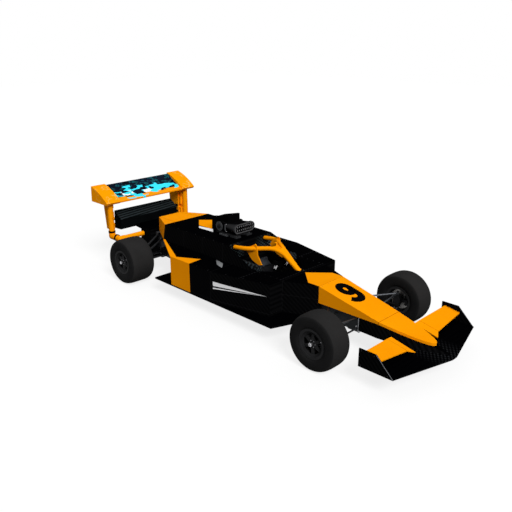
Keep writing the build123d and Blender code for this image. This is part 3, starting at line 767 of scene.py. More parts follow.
# Engine cover and tail. Leaning composite walls and a flat roof in one moulding, with a bulkhead
# behind the driver, and an orange hood behind it. Small screws hold the panels along their joints.
cover_wall_seams = ((-2.85, 0.16), (-2.44, 0.15), (-2.02, 0.13))
roof_patch = ((-3.140, 0.094), (-2.925, -0.086), (-2.654, -0.070), (-3.001, 0.233))
roof_bar = ((-2.893, -0.113), (-2.826, -0.170), (-2.532, -0.157), (-2.632, -0.069))
roof_front_x = -1.95
roof_low = 0.85
wall_low, wall_middle, wall_high = 0.655, 0.76, 0.87
orange_high = 0.66
bulkhead_low, bulkhead_high = 0.45, 0.90
bulkhead_inner = 0.10
tail_low = 0.8
tail_seam = ((-3.284, 0.226), (-3.721, 0.200))


def cover_seams(station, y, height):
    """Three fine seams that lean with the walls."""
    walls = None
    for at, lean in cover_wall_seams:
        seam = (station + (height - wall_middle) * lean).near(at, seam_fine)
        walls = seam if walls is None else walls.any(seam)
    return walls * height.within(wall_low, wall_high) * seam_faint


def on_roof(station, y, height, corners):
    """A shape masked off on the roof and sprayed: 1 where a place is inside every edge between
    the corners, which run anticlockwise as (station, y) pairs."""
    depth = height - roof_low
    for (start, start_y), (end, end_y) in zip(corners, corners[1:] + corners[:1]):
        length = math.hypot(end - start, end_y - start_y)
        forward, sideways = (end - start) / length, (end_y - start_y) / length
        depth = depth.least((y - start_y) * forward - (station - start) * sideways)
    return depth.beyond(0.0)


def cover_orange(station, y, height):
    """The orange that runs on from the pods, and the plain patch on the roof."""
    on_deck = pod_orange(station, y, height) * (1 - height.beyond(orange_high))
    return on_deck.any(on_roof(station, y, height, roof_patch))


def roof_stripe(station, y, height):
    """A plain white bar beside the patch."""
    return on_roof(station, y, height, roof_bar)


def bulkhead_weave(station, y, height):
    """The coarse bare weave on the bulkhead behind the driver, which fades inwards and upwards."""
    fade = (y.size() - bulkhead_inner).rise(fade_pace) * (bulkhead_high - height).rise(fade_pace)
    forward = station.finish.facing("X") * station.beyond(roof_front_x - 0.05)
    return staggered(y, height) * fade * forward * height.beyond(bulkhead_low)


def tail_seams(station, y, height):
    """A joint along each side of the tail's top."""
    (front, front_side), (rear, rear_side) = tail_seam
    slope = (front_side - rear_side) / (front - rear)
    line = y.size() - (station - front) * slope
    return line.near(front_side, seam_half) * height.beyond(tail_low)


cover_trims = [(roof_stripe, print_white), (bulkhead_weave, (104, 124, 128))]
dress(painted_composite("cover_composite", cover_orange, cover_seams, cover_trims), "engine_cover")
dress(orange_paint("tail_paint", tail_seams), "tail_cover")
roof_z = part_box("engine_cover")[1].z
screws("roof_screws", both(from_axle(*[(x, 0.405, roof_z) for x in np.linspace(-2.05, -3.20, 7)])))
screws("deck_screws", both(from_axle(*[(x, 0.500, deck_z) for x in np.linspace(-2.75, -3.10, 3)])))


# Scoop and blower. A cast intake with a ringed mouth and a slotted grille feeds a ribbed blower,
# which stands on feet on the roof. Bolts hold the collar and the feet, and the lid is black.
mouth_x = front_axle_x - 2.045
mouth_half = 0.165
ring_depth = 0.002
grille_near, grille_far = 0.010, 0.0135
bar_row, bar_half = 0.025, 0.011
scoop_z = 1.008
scoop_round_y = 0.10
drum_end_y = 0.163
blower_foot = 0.092
drum_bolt_reach = 0.046


def scoop_ring_and_highlights(x, y, z):
    """The lighter ring of the mouth, painted highlights on the upright bars, and painted light that
    grows towards the scoop's rounded ends.
    """
    ring = x.beyond(mouth_x - ring_depth) * 0.45
    grille = x.within(mouth_x - grille_far, mouth_x - grille_near, 0.0005)
    bars = y.near(0.0, mouth_half) * (z - scoop_z).size().near(bar_row, bar_half)
    return ring.any(grille * bars).any((y.size() - scoop_round_y).rise(2.6))


# The scoop's edge level is the colour of its lighter ring and its painted highlights.
scoop_casting = cast_metal("scoop_casting", (9, 9, 10), (128, 129, 132), scoop_ring_and_highlights, shine=0.0)
dress(scoop_casting, "intake_scoop")


def blower_bare(x, y, z):
    """The turned ends of the drum, and the feet."""
    feet = 1 - z.beyond(scoop_z - blower_foot, 0.02)
    return (y.size().beyond(drum_end_y) * 0.6).any(feet * 0.25)


blower_casting = cast_metal("blower_casting", (7, 7, 8), (104, 106, 109), blower_bare, shine=0.0)
dress(blower_casting, "blower")


def path_frames(path):
    """Side and up directions along a path. Side is the tangent crossed with +Z, or +Y where the
    path runs upright. Up is the side crossed with the tangent."""
    path = np.asarray(path, float)
    tangent = np.gradient(path, axis=0)
    tangent /= np.linalg.norm(tangent, axis=1, keepdims=True)
    side = np.cross(tangent, [0.0, 0.0, 1.0])
    length = np.linalg.norm(side, axis=1, keepdims=True)
    side = np.where(length > 1e-3, side / np.maximum(length, 1e-3), [0.0, 1.0, 0.0])
    side -= tangent * (side * tangent).sum(axis=1, keepdims=True)
    side /= np.linalg.norm(side, axis=1, keepdims=True)
    return side, np.cross(side, tangent)


def carried(path, profile):
    """A closed profile of (side, up) offsets carried along a path. Each ring is the path's point
    plus side times the first offset and up times the second. Both ends close on their middle."""
    path = np.asarray(path, float)
    side, up = path_frames(path)
    profile = np.asarray(profile, float)
    rings = path[:, None] + profile[:, :1] * side[:, None] + profile[:, 1:] * up[:, None]
    first = np.broadcast_to(rings[:1].mean(axis=1, keepdims=True), rings[:1].shape)
    last = np.broadcast_to(rings[-1:].mean(axis=1, keepdims=True), rings[-1:].shape)
    return np.concatenate([first, rings, last])


def rounded(width, height, corner):
    """A closed rectangle of (side, up) offsets with rounded corners, four points at each."""
    angle = np.linspace(0, math.pi / 2, 4)
    turns = np.concatenate([angle + quarter * math.pi / 2 for quarter in range(4)])
    middle = np.repeat([(1, 1), (-1, 1), (-1, -1), (1, -1)], 4, axis=0)
    reach = np.array([width / 2 - corner, height / 2 - corner])
    return middle * reach + corner * np.column_stack([np.cos(turns), np.sin(turns)])


rib_metal = metal("rib_metal", (24, 24, 26), 0.5, shine=0.0)
rib_y = np.linspace(-0.13, 0.13, 9)
rib_line = from_axle(*[(x, 0, z) for x, z in ((-2.462, 0.905), (-2.458, 0.95), (-2.442, 1.008),
                                              (-2.40, 1.027), (-2.335, 1.051), (-2.30, 1.046))])
ribs = np.stack([carried(rib_line + [0, y, 0], rounded(0.008, 0.016, 0.003)) for y in rib_y])
fit(skin("blower_ribs", ribs, closed_columns=True), rib_metal, "chassis")

collar_bolts = from_axle(*[(-2.255, y, scoop_z - 0.02 + z) for y, z in
                           ((-0.155, 0.05), (0.155, 0.05), (-0.155, -0.05), (0.155, -0.05),
                            (-0.07, -0.062), (0.07, -0.062))])
screws("collar_bolts", collar_bolts, (1, 0, 0), 0.008, bolt_steel)
foot_bolts = from_axle(*[(x, y, roof_z + 0.02) for x, y in ((-2.09, 0.125), (-2.155, 0.125),
                                                            (-2.26, 0.16), (-2.35, 0.16))])
screws("foot_bolts", both(foot_bolts), radius=0.008, finish=bolt_steel)
drum_at = from_axle((-2.386, 0.170, 0.992))[0]
around = np.linspace(0, 2 * math.pi, 6, endpoint=False)
six_round = np.column_stack([np.cos(around), np.zeros(6), np.sin(around)])
screws("drum_bolts", *outward_pairs(drum_at + drum_bolt_reach * six_round), radius=0.007)
drum_cap = [(-0.004, 0), (-0.004, 0.030), (0.006, 0.030), (0.009, 0.026), (0.009, 0.012),
            (0.013, 0.011), (0.013, 0)]
lathed("drum_caps", drum_cap, *outward_pairs(drum_at), 32, shaft_steel)


# Engine, gearbox and rear suspension. A rough casting below the cover, a ribbed gearbox behind it
# and a composite crash box. Coated rods and turned shafts run out to the rear uprights, and a
# thin dark sheet behind the level rods is a painted shadow below them.
def split_line(x, y, z):
    """The casting's split line, where the paint has worn."""
    return y.size().near(0.0, 0.004)


gear_casting = cast_metal("gear_casting", (58, 60, 63), (96, 98, 100), split_line)
dress(gear_casting, "gearbox", "engine_block")
rod_coat = metal("rod_coat", (40, 41, 43), 0.42, shine=0.6)
dress(rod_coat, "rear_arms_left", "rear_arms_right")
dress(shaft_steel, "rear_upright_left", "rear_upright_right", "drive_shaft_left",
      "drive_shaft_right")
dress(plain_composite, "rear_crash_box")
gear_rib = rounded(0.02, 0.012, 0.003)
gear_ribs = []
for x, y in ((-3.10, 0.202), (-3.25, 0.206), (-3.40, 0.212)):
    line = from_axle(*[(x, y, z) for z in np.linspace(0.29, 0.57, 5)])
    gear_ribs += [carried(line, gear_rib), carried(line * [1, -1, 1], gear_rib)]
fit(skin("gearbox_ribs", np.stack(gear_ribs), closed_columns=True), gear_casting, "chassis")
gear_bolts = from_axle(*[(x, 0.212, 0.44) for x in (-3.02, -3.17, -3.32)])
gear_bolt = 0.010 * np.array([(-0.5, 0), (-0.5, 1), (0.6, 1), (0.8, 0.8), (0.8, 0)])
lathed("gear_side_bolts", gear_bolt, *outward_pairs(gear_bolts), 6, bolt_steel, sharp=25)
# Painted shadow: a thin near-black sheet where the shade below the level rods falls.
rod_shadow_paint = metal("rod_shadow_paint", (9, 9, 10), 0.6, shine=0.0)
shadow_sheet_outline = from_axle(*[(-3.700, y, z) for y, z in (
    (0.242, 0.240), (0.242, 0.388), (0.596, 0.388),
    (0.612, 0.372), (0.612, 0.250), (0.602, 0.240))])
thin = np.array([0.002, 0, 0])
shadow_sheet_levels = [(0, -thin), (1, -thin), (1, thin * 0.6), (0.985, thin), (0, thin)]
fit(plates("rod_shadow_sheets", pair(shadow_sheet_outline), shadow_sheet_levels), rod_shadow_paint, "chassis")


# Cockpit. The seat is a set of foam pads covered in knitted fabric, a soft pad lies along each side
# of the opening, and woven belts meet in a round buckle. The wheel has a screen, buttons and pale
# grips.
pad_voxel = 0.005
pad_cap = 0.009
pad_pressure = 4.0
pad_frames = 20
pad_start = 0.006
pad_edge = 0.016
pad_columns = 64
channel_depth = 0.006
channel_width = 0.007
knit_loop = 0.0022
belt_width = 0.044
belt_thick = 0.0026
belt_lift = 0.004


def pillow(profile, axis, low, high, edge):
    """A closed pad: a side profile carried along x (axis 0) or y (axis 1) between two values. The
    profile is cut into even steps, its corners are softened by averaging neighbours, and near
    both ends it is drawn in towards its middle along a quarter circle."""
    profile = np.asarray(profile, float)
    loop = np.vstack([profile, profile[:1]])
    length = np.concatenate([[0], np.cumsum(np.linalg.norm(np.diff(loop, axis=0), axis=1))])
    at = np.linspace(0, length[-1], pad_columns, endpoint=False)
    ring = np.column_stack([np.interp(at, length, loop[:, 0]), np.interp(at, length, loop[:, 1])])
    for _ in range(3):
        ring = (np.roll(ring, 1, axis=0) + 2 * ring + np.roll(ring, -1, axis=0)) / 4
    middle = ring.mean(axis=0)
    reach = np.linalg.norm(ring - middle, axis=1, keepdims=True)
    ring = middle + (ring - middle) * (1 - pad_start / reach)
    angle = np.linspace(0, math.pi / 2, 6)
    inward = edge * (1 - np.sin(angle))
    lengthwise = low + pad_start + edge * (1 - np.cos(angle))
    level = np.concatenate([lengthwise, low + high - lengthwise[::-1]])
    shrink = np.concatenate([inward, inward[::-1]])
    rings = middle + (ring - middle) * (1 - shrink[:, None, None] / reach)
    rings = np.concatenate([np.broadcast_to(middle, rings[:1].shape), rings,
                            np.broadcast_to(middle, rings[:1].shape)])
    level = np.concatenate([level[:1], level, level[-1:]])
    return np.insert(rings, axis, level[:, None], axis=2) + [front_axle_x, 0, 0]


def modelled(piece):
    """A piece's mesh as its modifiers leave it."""
    shown = piece.evaluated_get(bpy.context.evaluated_depsgraph_get())
    return bpy.data.meshes.new_from_object(shown)


def stuff(piece):
    """Swell a closed pad as its foam does: an even remesh, then Cloth pressure, with no point
    further than a cap from where it began."""
    scene = bpy.context.scene
    even = piece.modifiers.new("even", "REMESH")
    even.mode = "VOXEL"
    even.voxel_size = pad_voxel
    piece.data = modelled(piece)
    piece.modifiers.clear()
    start = np.empty(len(piece.data.vertices) * 3)
    piece.data.vertices.foreach_get("co", start)
    cloth = piece.modifiers.new("foam", "CLOTH")
    cloth.settings.use_pressure = True
    cloth.settings.uniform_pressure_force = pad_pressure
    cloth.settings.effector_weights.gravity = 0
    for frame_number in range(1, pad_frames + 1):
        scene.frame_set(frame_number)
    swollen = modelled(piece)
    end = np.empty_like(start)
    swollen.vertices.foreach_get("co", end)
    piece.modifiers.clear()
    scene.frame_set(1)
    move = (end - start).reshape(-1, 3)
    far = np.linalg.norm(move, axis=1, keepdims=True)
    move *= np.minimum(1, pad_cap / np.maximum(far, 1e-9))
    piece.data.vertices.foreach_set("co", start + move.ravel())


def channels(piece, direction, first, pitch, count):
    """Sewn channels: points sink along their normals by a depth times e to the minus squared
    distance from the nearest channel's plane over the width squared."""
    mesh = piece.data
    points = np.empty((len(mesh.vertices), 3))
    normals = np.empty_like(points)
    mesh.vertices.foreach_get("co", points.ravel())
    mesh.vertices.foreach_get("normal", normals.ravel())
    along = (points - [front_axle_x, 0, 0]) @ np.array(direction)
    nearest = first + pitch * np.clip(np.round((along - first) / pitch), 0, count - 1)
    depth = channel_depth * np.exp(-((along - nearest) / channel_width) ** 2)
    points -= normals * depth[:, None]
    mesh.vertices.foreach_set("co", points.ravel())
    mesh.update()


def knit(name, level, stitches=False):
    """Knitted cover: fine loops as crossed sines of the place, soft fading and a little pilling.
    Quilting stitches are rows of pale dashes."""
    finish = Finish(name, Roughness=0.9, Specular_IOR_Level=0.01, Sheen_Weight=0.02,
                    Sheen_Roughness=0.5)
    place, x, y, z = finish.axes()
    turns = 2 * math.pi / knit_loop
    loops = (y * turns).sine() * ((x + z) * turns).sine() * 0.5 + 0.5
    fading = finish.noise(place, 11.0, detail=5)
    dark, light = display(*(np.array(level) * 0.62)), display(*level)
    colour = finish.mix(loops * 0.6 + fading * 0.4, dark, light)
    if stitches:
        colour = finish.mix(staggered(x, y.size() + z), colour, display(46, 54, 57))
    finish.set("Base Color", colour)
    finish.bump(loops + finish.noise(place, 500.0) * 0.4, 0.0006)
    return finish


def pad(name, profile, axis, low, high, finish, sewn=(), edge=pad_edge):
    """One padded piece with one subdivision. It is stuffed and its channels are sewn."""
    piece = skin(name, pillow(profile, axis, low, high, edge), closed_columns=True, sharp=180)
    stuff(piece)
    for direction, first, pitch, count in sewn:
        channels(piece, direction, first, pitch, count)
    piece.data.shade_smooth()
    soft = piece.modifiers.new("soft", "SUBSURF")
    soft.levels = soft.render_levels = 1
    fit(piece, finish, "chassis")
    return piece


seat_knit = knit("seat_knit", (26, 27, 29))
head_knit = knit("head_knit", (62, 66, 72))
side_knit = knit("side_knit", (12, 12, 13))
rim_knit = knit("rim_knit", (14, 14, 15), stitches=True)
base_profile = [(-1.212, 0.279), (-1.212, 0.322), (-1.462, 0.300), (-1.490, 0.279)]
back_profile = [(-1.478, 0.303), (-1.602, 0.556), (-1.696, 0.556), (-1.638, 0.279), (-1.492, 0.279)]
side_profile = [(-1.232, 0.279), (-1.232, 0.366), (-1.432, 0.377), (-1.562, 0.597),
                (-1.686, 0.597), (-1.638, 0.279)]
head_profile = [(-1.597, 0.563), (-1.690, 0.668), (-1.731, 0.648), (-1.706, 0.563)]
back_foot, back_top = (np.array([x, 0, z]) for x, z in back_profile[:2])
slope = (back_top - back_foot) / np.linalg.norm(back_top - back_foot)
base_sewn = [((1, 0, 0), -1.42, 0.07, 4)]
back_sewn = [(slope, float(back_foot @ slope) + 0.05, 0.055, 4)]
head_sewn = [((0, 1, 0), -0.030, 0.060, 2)]
# Name, profile, least and most y, cover, channels, rounding of the ends
seat_forms = (
    ("seat_base_pad", base_profile, -0.150, 0.150, side_knit, base_sewn, 0.012),
    ("seat_back_pad", back_profile, -0.150, 0.150, seat_knit, back_sewn, pad_edge),
    ("seat_bolster_left", side_profile, 0.151, 0.189, side_knit, (), pad_edge),
    ("seat_bolster_right", side_profile, -0.189, -0.151, side_knit, (), pad_edge),
    ("headrest_pad", head_profile, -0.088, 0.088, head_knit, head_sewn, pad_edge),
)
seat_pads = [pad(name, profile, 1, low, high, cover, sewn, edge)
             for name, profile, low, high, cover, sewn, edge in seat_forms]
for piece in seat_pads:
    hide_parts("seat")
rim_profile = np.array([(0.287, 0.602), (0.287, 0.692), (0.394, 0.694), (0.394, 0.602)])
for side, sign in (("left", 1), ("right", -1)):
    profile = (rim_profile * [sign, 1])[::sign]
    piece = pad(f"rim_pad_{side}", profile, 0, -1.940, -1.414, rim_knit,
                [((1, 0, 0), -1.81, 0.13, 3)])
    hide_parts("cockpit_padding")

webbing = Finish("webbing", Roughness=0.75, Specular_IOR_Level=0.01)
place, x, y, z = webbing.axes()
tows = ((y + x * 0.35) * 2100).sine() * ((z - x * 0.4) * 1500).sine() * 0.5 + 0.5
wear = webbing.noise(place, 24.0, detail=4)
worn = tows * 0.5 + wear * 0.5
webbing.set("Base Color", webbing.mix(worn, display(12, 12, 14), display(30, 30, 33)))
webbing.bump(tows, 0.0004)

forms = []
for piece in seat_pads[:2]:
    form = bmesh.new()
    form.from_mesh(piece.data)
    forms.append(BVHTree.FromBMesh(form))
    form.free()


def laid(line, lift):
    """A line of (station, y) points laid on the seat's pads from above and lifted off them. Each
    point is raised to the middle of its neighbours where that is higher, as a taut belt is."""
    tops = np.zeros(len(line))
    for number, (station, y) in enumerate(line):
        above = Vector((station + front_axle_x, y, 0.9))
        hits = [tree.ray_cast(above, Vector((0, 0, -1)))[0] for tree in forms]
        tops[number] = max([hit.z + lift for hit in hits if hit is not None], default=0)
    found = tops > 0
    tops = np.interp(np.arange(len(tops)), np.flatnonzero(found), tops[found])
    for _ in range(6):
        tops[1:-1] = np.maximum(tops[1:-1], (tops[:-2] + tops[2:]) / 2)
    return np.column_stack([line[:, 0] + front_axle_x, line[:, 1], tops])


buckle_station = -1.440
step = np.linspace(0, 1, 22)[:, None]
belt_lines = []
for sign in (1, -1):
    belt_lines.append([(-1.612, sign * 0.062), (buckle_station - 0.010, sign * 0.014)])
    belt_lines.append([(-1.470, sign * 0.128), (buckle_station, sign * 0.018)])
belt_lines.append([(buckle_station, 0.0), (-1.250, 0.0)])
belt_form = rounded(belt_width, belt_thick, 0.001)
belts = [carried(laid(start + (end - start) * step, belt_lift), belt_form)
         for start, end in np.array(belt_lines)]
fit(skin("belts", np.stack(belts), closed_columns=True), webbing, "chassis")
buckle_at = laid(np.array([(buckle_station, 0.0)] * 2), 0.008)[0]
buckle_form = [(-0.008, 0), (-0.008, 0.034), (0.006, 0.034), (0.010, 0.030), (0.010, 0.017),
               (0.014, 0.015), (0.014, 0)]
machined = metal("machined", (118, 119, 122), 0.30, grain_scale=900.0)
lathed("buckle", buckle_form, buckle_at, (0.35, 0, 1), 36, machined)

dress(plain_composite, "dash", "steering_wheel")
wheel_middle = from_axle((-1.360, 0, 0.640))[0]
wheel_axes = np.array([(0.4226, 0, 0.9063), (0, 1, 0), (-0.9063, 0, 0.4226)])


def on_wheel(points):
    """Points given as up along the wheel's face, across it and out of it towards the driver."""
    return wheel_middle + np.asarray(points, float) @ wheel_axes


grip_leather = Finish("grip_leather", Roughness=0.55, Specular_IOR_Level=0.05)
place = grip_leather.axes()[0]
pores = grip_leather.cells(place, 420.0, feature="DISTANCE_TO_EDGE")
soil = grip_leather.noise(place, 30.0, detail=4)
soiled = grip_leather.mix(soil, display(196, 197, 199), display(226, 226, 228))
grip_leather.set("Base Color", soiled)
grip_leather.bump(pores * 2, 0.0003)
span = np.linspace(-1, 1, 21)
grip_radius = 0.0200 + 0.0022 * np.cos(span * math.pi * 3) * (1 - span ** 2)
turn = np.linspace(0, 2 * math.pi, 24, endpoint=False)
ring = np.column_stack([np.zeros(24), np.cos(turn), np.sin(turn)])
grips = []
for sign in (1, -1):
    line = np.column_stack([span * 0.034, sign * (0.107 - 0.004 * span ** 2), np.zeros(21)])
    wide = grip_radius * np.sqrt(np.clip(1 - span ** 8, 0.02, 1))
    rings = line[:, None] + wide[:, None, None] * ring
    ends = [np.broadcast_to(line[at, None, None], rings[:1].shape) for at in (0, -1)]
    rings = np.concatenate([ends[0], rings, ends[1]])
    grips.append(on_wheel(rings))
wheel_grips = skin("wheel_grips", np.stack(grips), closed_columns=True)
fit(wheel_grips, grip_leather, "chassis")

button_at = on_wheel([(x, y, 0.020) for x in (-0.022, 0.004) for y in (-0.036, 0.036)]
                     + [(0.052, y, 0.012) for y in (-0.08, -0.05, 0.05, 0.08)])
button_form = [(-0.002, 0), (-0.002, 0.0065), (0.002, 0.0065), (0.004, 0.0055), (0.0045, 0)]
button_plastic = Finish("button_plastic", Roughness=0.4, Specular_IOR_Level=0.05)
place, _, y, _ = button_plastic.axes()
worn = button_plastic.noise(place, 200.0)
tint = button_plastic.mix(y.beyond(0.0), display(168, 30, 24), display(34, 120, 60))
button_plastic.set("Base Color", button_plastic.mix(worn * 0.3, tint, display(90, 90, 90)))
button_plastic.bump(worn, 0.0001)
lathed("wheel_buttons", button_form, button_at, wheel_axes[2], 16, button_plastic, "wheel_grip")
screen_glass = Finish("screen_glass", Specular_IOR_Level=0.02)
place = screen_glass.axes()[0]
smears = screen_glass.noise(place, 60.0, detail=5)
smeared = screen_glass.mix(smears * 0.5, display(6, 9, 12), display(26, 32, 38))
screen_glass.set("Base Color", smeared)
screen_glass.set("Roughness", smears * 0.25 + 0.1)
screen_glass.bump(smears, 0.00003)
screen_form = rounded(0.036, 0.052, 0.004) + [0.010, 0.0]
screen_outline = on_wheel(np.insert(screen_form, 2, 0, axis=1))
back, edge, front = (wheel_axes[2] * lift for lift in (0.019, 0.023, 0.0235))
screen = plates("wheel_screen", [screen_outline], [(0, back), (1, back), (1, edge), (0.95, front),
                                                   (0, front)])
fit(screen, screen_glass, "chassis")


# Halo. A welded tube hoop, sprayed orange: two arms bend down into one stem in front of the driver.
# Bolts hold the stem's foot to the deck, and a collar seats each arm's end in the bulkhead.
dress(orange_paint("halo_paint"), "halo")
foot_angle = np.linspace(0, 2 * math.pi, 4, endpoint=False) + 0.6
foot_ring = from_axle((-1.030, 0, deck_z))[0]
foot_form = [(-0.002, 0.0), (-0.002, 0.062), (0.004, 0.062), (0.006, 0.059), (0.006, 0.0)]
halo_steel = metal("halo_steel", (16, 16, 17), 0.5, shine=0.0)
lathed("halo_foot", foot_form, foot_ring, (0, 0, 1), 40, halo_steel)
foot_thick = 0.006
foot_bolt_reach = 0.049
four_round = np.column_stack([np.cos(foot_angle), np.sin(foot_angle), np.zeros(4)])
halo_bolts = foot_ring + foot_bolt_reach * four_round + [0, 0, foot_thick]
hex_bolts("halo_bolts", halo_bolts, 0.0065, screw_metal)
collar_form = [(0, 0.030), (0, 0.043), (0.007, 0.043), (0.010, 0.040), (0.010, 0.030)]
collar_at = both(from_axle((roof_front_x, 0.289, 0.818)))
lathed("halo_collars", collar_form, collar_at, (1, 0, 0.13), 32, halo_steel, closed_rows=True)


# Rear wing. A thin plane between two arched caps, on pipe posts, with a deep lower wing between
# fins. The plane has a printed film of sharp pale and blue facets, and steel bands clamp the pipes.
art_border = -4.262
art_middle = -4.31
art_reach = 0.13
art_half = 0.60
print_stretch = (1.3, 0.8, 0)
print_bend = (0.12, 0.12, 0)
facet_scale = 10.5
chip_scale = 30.0
chip_front = -4.40
white_stations = (-4.37, -4.26)
white_span = (-0.46, 0.14)
beam_edge = (-4.27, 0.783)
band_columns = 40


def facet_print(name):
    """The film on the wing: cells of uneven size, each dark, blue or white by its own number. The
    blue ones crowd along the middle, and an uneven orange border runs along the front."""
    finish = Finish(name, Specular_IOR_Level=0.02)
    place, station, y, _ = body_axes(finish)
    flat = finish.node("ShaderNodeVectorMath", {"operation": "MULTIPLY"},
                       {0: place, 1: print_stretch})
    bend = finish.node("ShaderNodeTexNoise", {}, {"Vector": flat, "Scale": 5.0}, output="Color")
    flat = finish.node("ShaderNodeVectorMath", {"operation": "MULTIPLY_ADD"},
                       {0: bend, 1: print_bend, 2: flat})
    cell = finish.cells(flat, facet_scale, "Color", distance="CHEBYCHEV")
    pick = finish.node("ShaderNodeSeparateColor", {}, {0: cell})
    small = finish.cells(flat, chip_scale, "Color", distance="MANHATTAN")
    chip = finish.node("ShaderNodeSeparateColor", {}, {0: small})
    band = 1 - (station - art_middle).size() / art_reach
    outward = y.size() / art_half
    ends = 1 - outward.math("POWER", outward, 4.0)
    blue = (pick + band * 0.55 + ends * 0.25).beyond(1.12, 0.01)
    white = (pick.part("Green") + band * 0.5).beyond(1.02, 0.01)
    white = white * station.within(*white_stations) * y.within(*white_span)
    chips = chip.beyond(0.80, 0.01) * (1 - station.beyond(chip_front)) * 0.7
    ground = finish.mix(pick.part("Blue"), display(3, 6, 14), display(8, 22, 44))
    base = finish.mix(chips, ground, display(20, 88, 96))
    base = finish.mix(blue, base, display(58, 226, 250))
    base = finish.mix(white, base, display(236, 246, 250))
    border = (station + (pick - 0.5) * 0.06).beyond(art_border)
    base = finish.mix(border * (1 - blue), base, paint_colour(finish, place))
    scuffs = finish.noise(place, 40.0, detail=5)
    scuffed = finish.mix(scuffs.beyond(0.68, 0.1) * 0.12, base, display(120, 126, 130))
    finish.set("Base Color", scuffed)
    finish.set("Roughness", scuffs * 0.15 + 0.3)
    finish.bump(scuffs, 0.00005)
    return finish


dress(facet_print("facet_print"), "rear_wing_plane")
cap_paint = orange_paint("cap_paint")
place = cap_paint.axes()[0]
cell_edges = cap_paint.cells(place, 11.0, feature="DISTANCE_TO_EDGE")
few = cap_paint.noise(place, 6.0, detail=1).beyond(0.5, 0.05)
lines = (1 - cell_edges.beyond(0.035, 0.012)) * few * 0.55
lined = cap_paint.mix(lines, paint_colour(cap_paint, place), display(255, 204, 120))
cap_paint.set("Base Color", lined)
dress(cap_paint, "rear_wing_caps")
dress(orange_paint("wing_orange"), "rear_wing_fins", "rear_wing_strut", "rear_wing_post_left",
      "rear_wing_post_right")
beam_composite = painted_composite("beam_composite")
place, station, y, height = body_axes(beam_composite)
slant = (height - beam_edge[1]) * 0.85 + (station - beam_edge[0]) * 0.55
tows = (station - height + y * 0.10).dashed(0.062, 0.5) * slant.beyond(-0.006, 0.002)
wear = beam_composite.noise(place, 6.0, detail=5)
faint = beam_composite.mix(wear, display(4, 5, 6), display(12, 15, 16))
bare = beam_composite.mix(tows * (wear * 0.6 + 0.6), faint, display(42, 48, 50))
beam_composite.set("Base Color", bare)
dress(beam_composite, "beam_wing")

band_form = [(-0.013, 0.0435), (-0.013, 0.0525), (-0.011, 0.0540), (0.011, 0.0540),
             (0.013, 0.0525), (0.013, 0.0435)]
band_steel = metal("band_steel", (7, 7, 8), 0.5, shine=0.0)
bands_at = both(from_axle((-4.270, 0.730, 0.622), (-4.133, 0.730, 0.550)))
lathed("clamp_bands", band_form, bands_at, [(0, 0, 1), (1, 0, 0)] * 2, band_columns, band_steel,
       closed_rows=True)
post_screws = from_axle(*[(-4.228, 0.730, z) for z in (0.82, 0.845, 1.03)])
screws("post_screws", both(post_screws), (1, 0, 0), 0.006)
fin_screws = from_axle(*[(x, 0.654, z) for x, z in ((-4.380, 0.68), (-4.380, 0.78), (-4.44, 0.95),
                                                    (-4.52, 0.95))])
screws("fin_screws", *outward_pairs(fin_screws), radius=0.008)


# Wheels. Slick tyres with round shoulders stand on six-spoke rims, coated grey outside and near
# black inside, with a dish and a steel disc in each. A dark ring and a bright nut clamp each hub
# inside a circle of drive pins, and each rim has a short valve.
axle_z = 0.335
rear_axle = -3.65
tread_radius = 0.311
lip_radius = 0.150
spoke_side = 0.915
disc_radius = 0.1285
disc_thick = 0.012
disc_slack = 0.001
bead_inset = 0.030
bead_radius = 0.1675
nut_inset = 0.036
pin_reach = 0.038
valve_reach = 0.168
valve_inset = 0.020
valve_turn = 0.5
tyre_columns = 128

# From the bead to the crown: (distance in from the tyre's side, radius)
tyre_line = np.array([(0.030, 0.172), (0.022, 0.180), (0.013, 0.187), (0.006, 0.197),
                      (0.001, 0.212), (0.000, 0.235), (0.000, 0.270), (0.002, 0.290),
                      (0.008, 0.3045), (0.017, 0.3145), (0.030, 0.3225), (0.048, 0.3286),
                      (0.068, 0.3322), (0.095, 0.3342)])
ring_form = [(-0.002, 0.0), (-0.002, 0.030), (0.003, 0.030), (0.005, 0.027), (0.005, 0.0)]
nut_form = [(0.004, 0.0), (0.004, 0.021), (0.020, 0.019), (0.023, 0.022), (0.038, 0.022),
            (0.041, 0.019), (0.041, 0.012), (0.033, 0.010), (0.033, 0)]
dish_form = np.array([(-0.016, 0.168), (-0.022, 0.150), (-0.030, 0.122), (-0.0335, 0.118),
                      (-0.0335, 0.122), (-0.026, 0.151), (-0.020, 0.168)])
valve_form = [(-0.006, 0.0), (-0.006, 0.006), (0.004, 0.006), (0.006, 0.004), (0.012, 0.004),
              (0.013, 0.0048), (0.019, 0.0048), (0.020, 0.0)]


def about_axle(finish, axle):
    """The place, y, and the radius: the root of the squared distances along and above an axle."""
    place, station, y, z = body_axes(finish)
    along, above = station - axle, z - axle_z
    squares = along * along + above * above
    return place, y, squares.math("SQRT", squares)


def rubber(name, axle):
    """Slick rubber: scrubbed tread with fine rolled-up crumbs, and smooth sidewalls with faint
    moulded rings and dust."""
    finish = Finish(name, Specular_IOR_Level=0.01)
    place, _, radius = about_axle(finish, axle)
    tread = radius.beyond(tread_radius, 0.008)
    crumbs = finish.noise(place, 260.0, detail=4, roughness=0.75)
    dust = finish.noise(place, 7.0, detail=5)
    wall = finish.mix(dust, display(23, 23, 24), display(34, 34, 34))
    worn = finish.mix(crumbs * 0.6 + dust * 0.4, display(29, 29, 29), display(47, 46, 46))
    finish.set("Base Color", finish.mix(tread, wall, worn))
    finish.set("Roughness", dust * 0.1 + tread * 0.12 + 0.68)
    rings = (radius * 900).sine() * (1 - tread) * radius.within(0.20, 0.29, 0.004)
    finish.bump(crumbs * tread * 0.8 + rings * 0.25, 0.0006)
    return finish


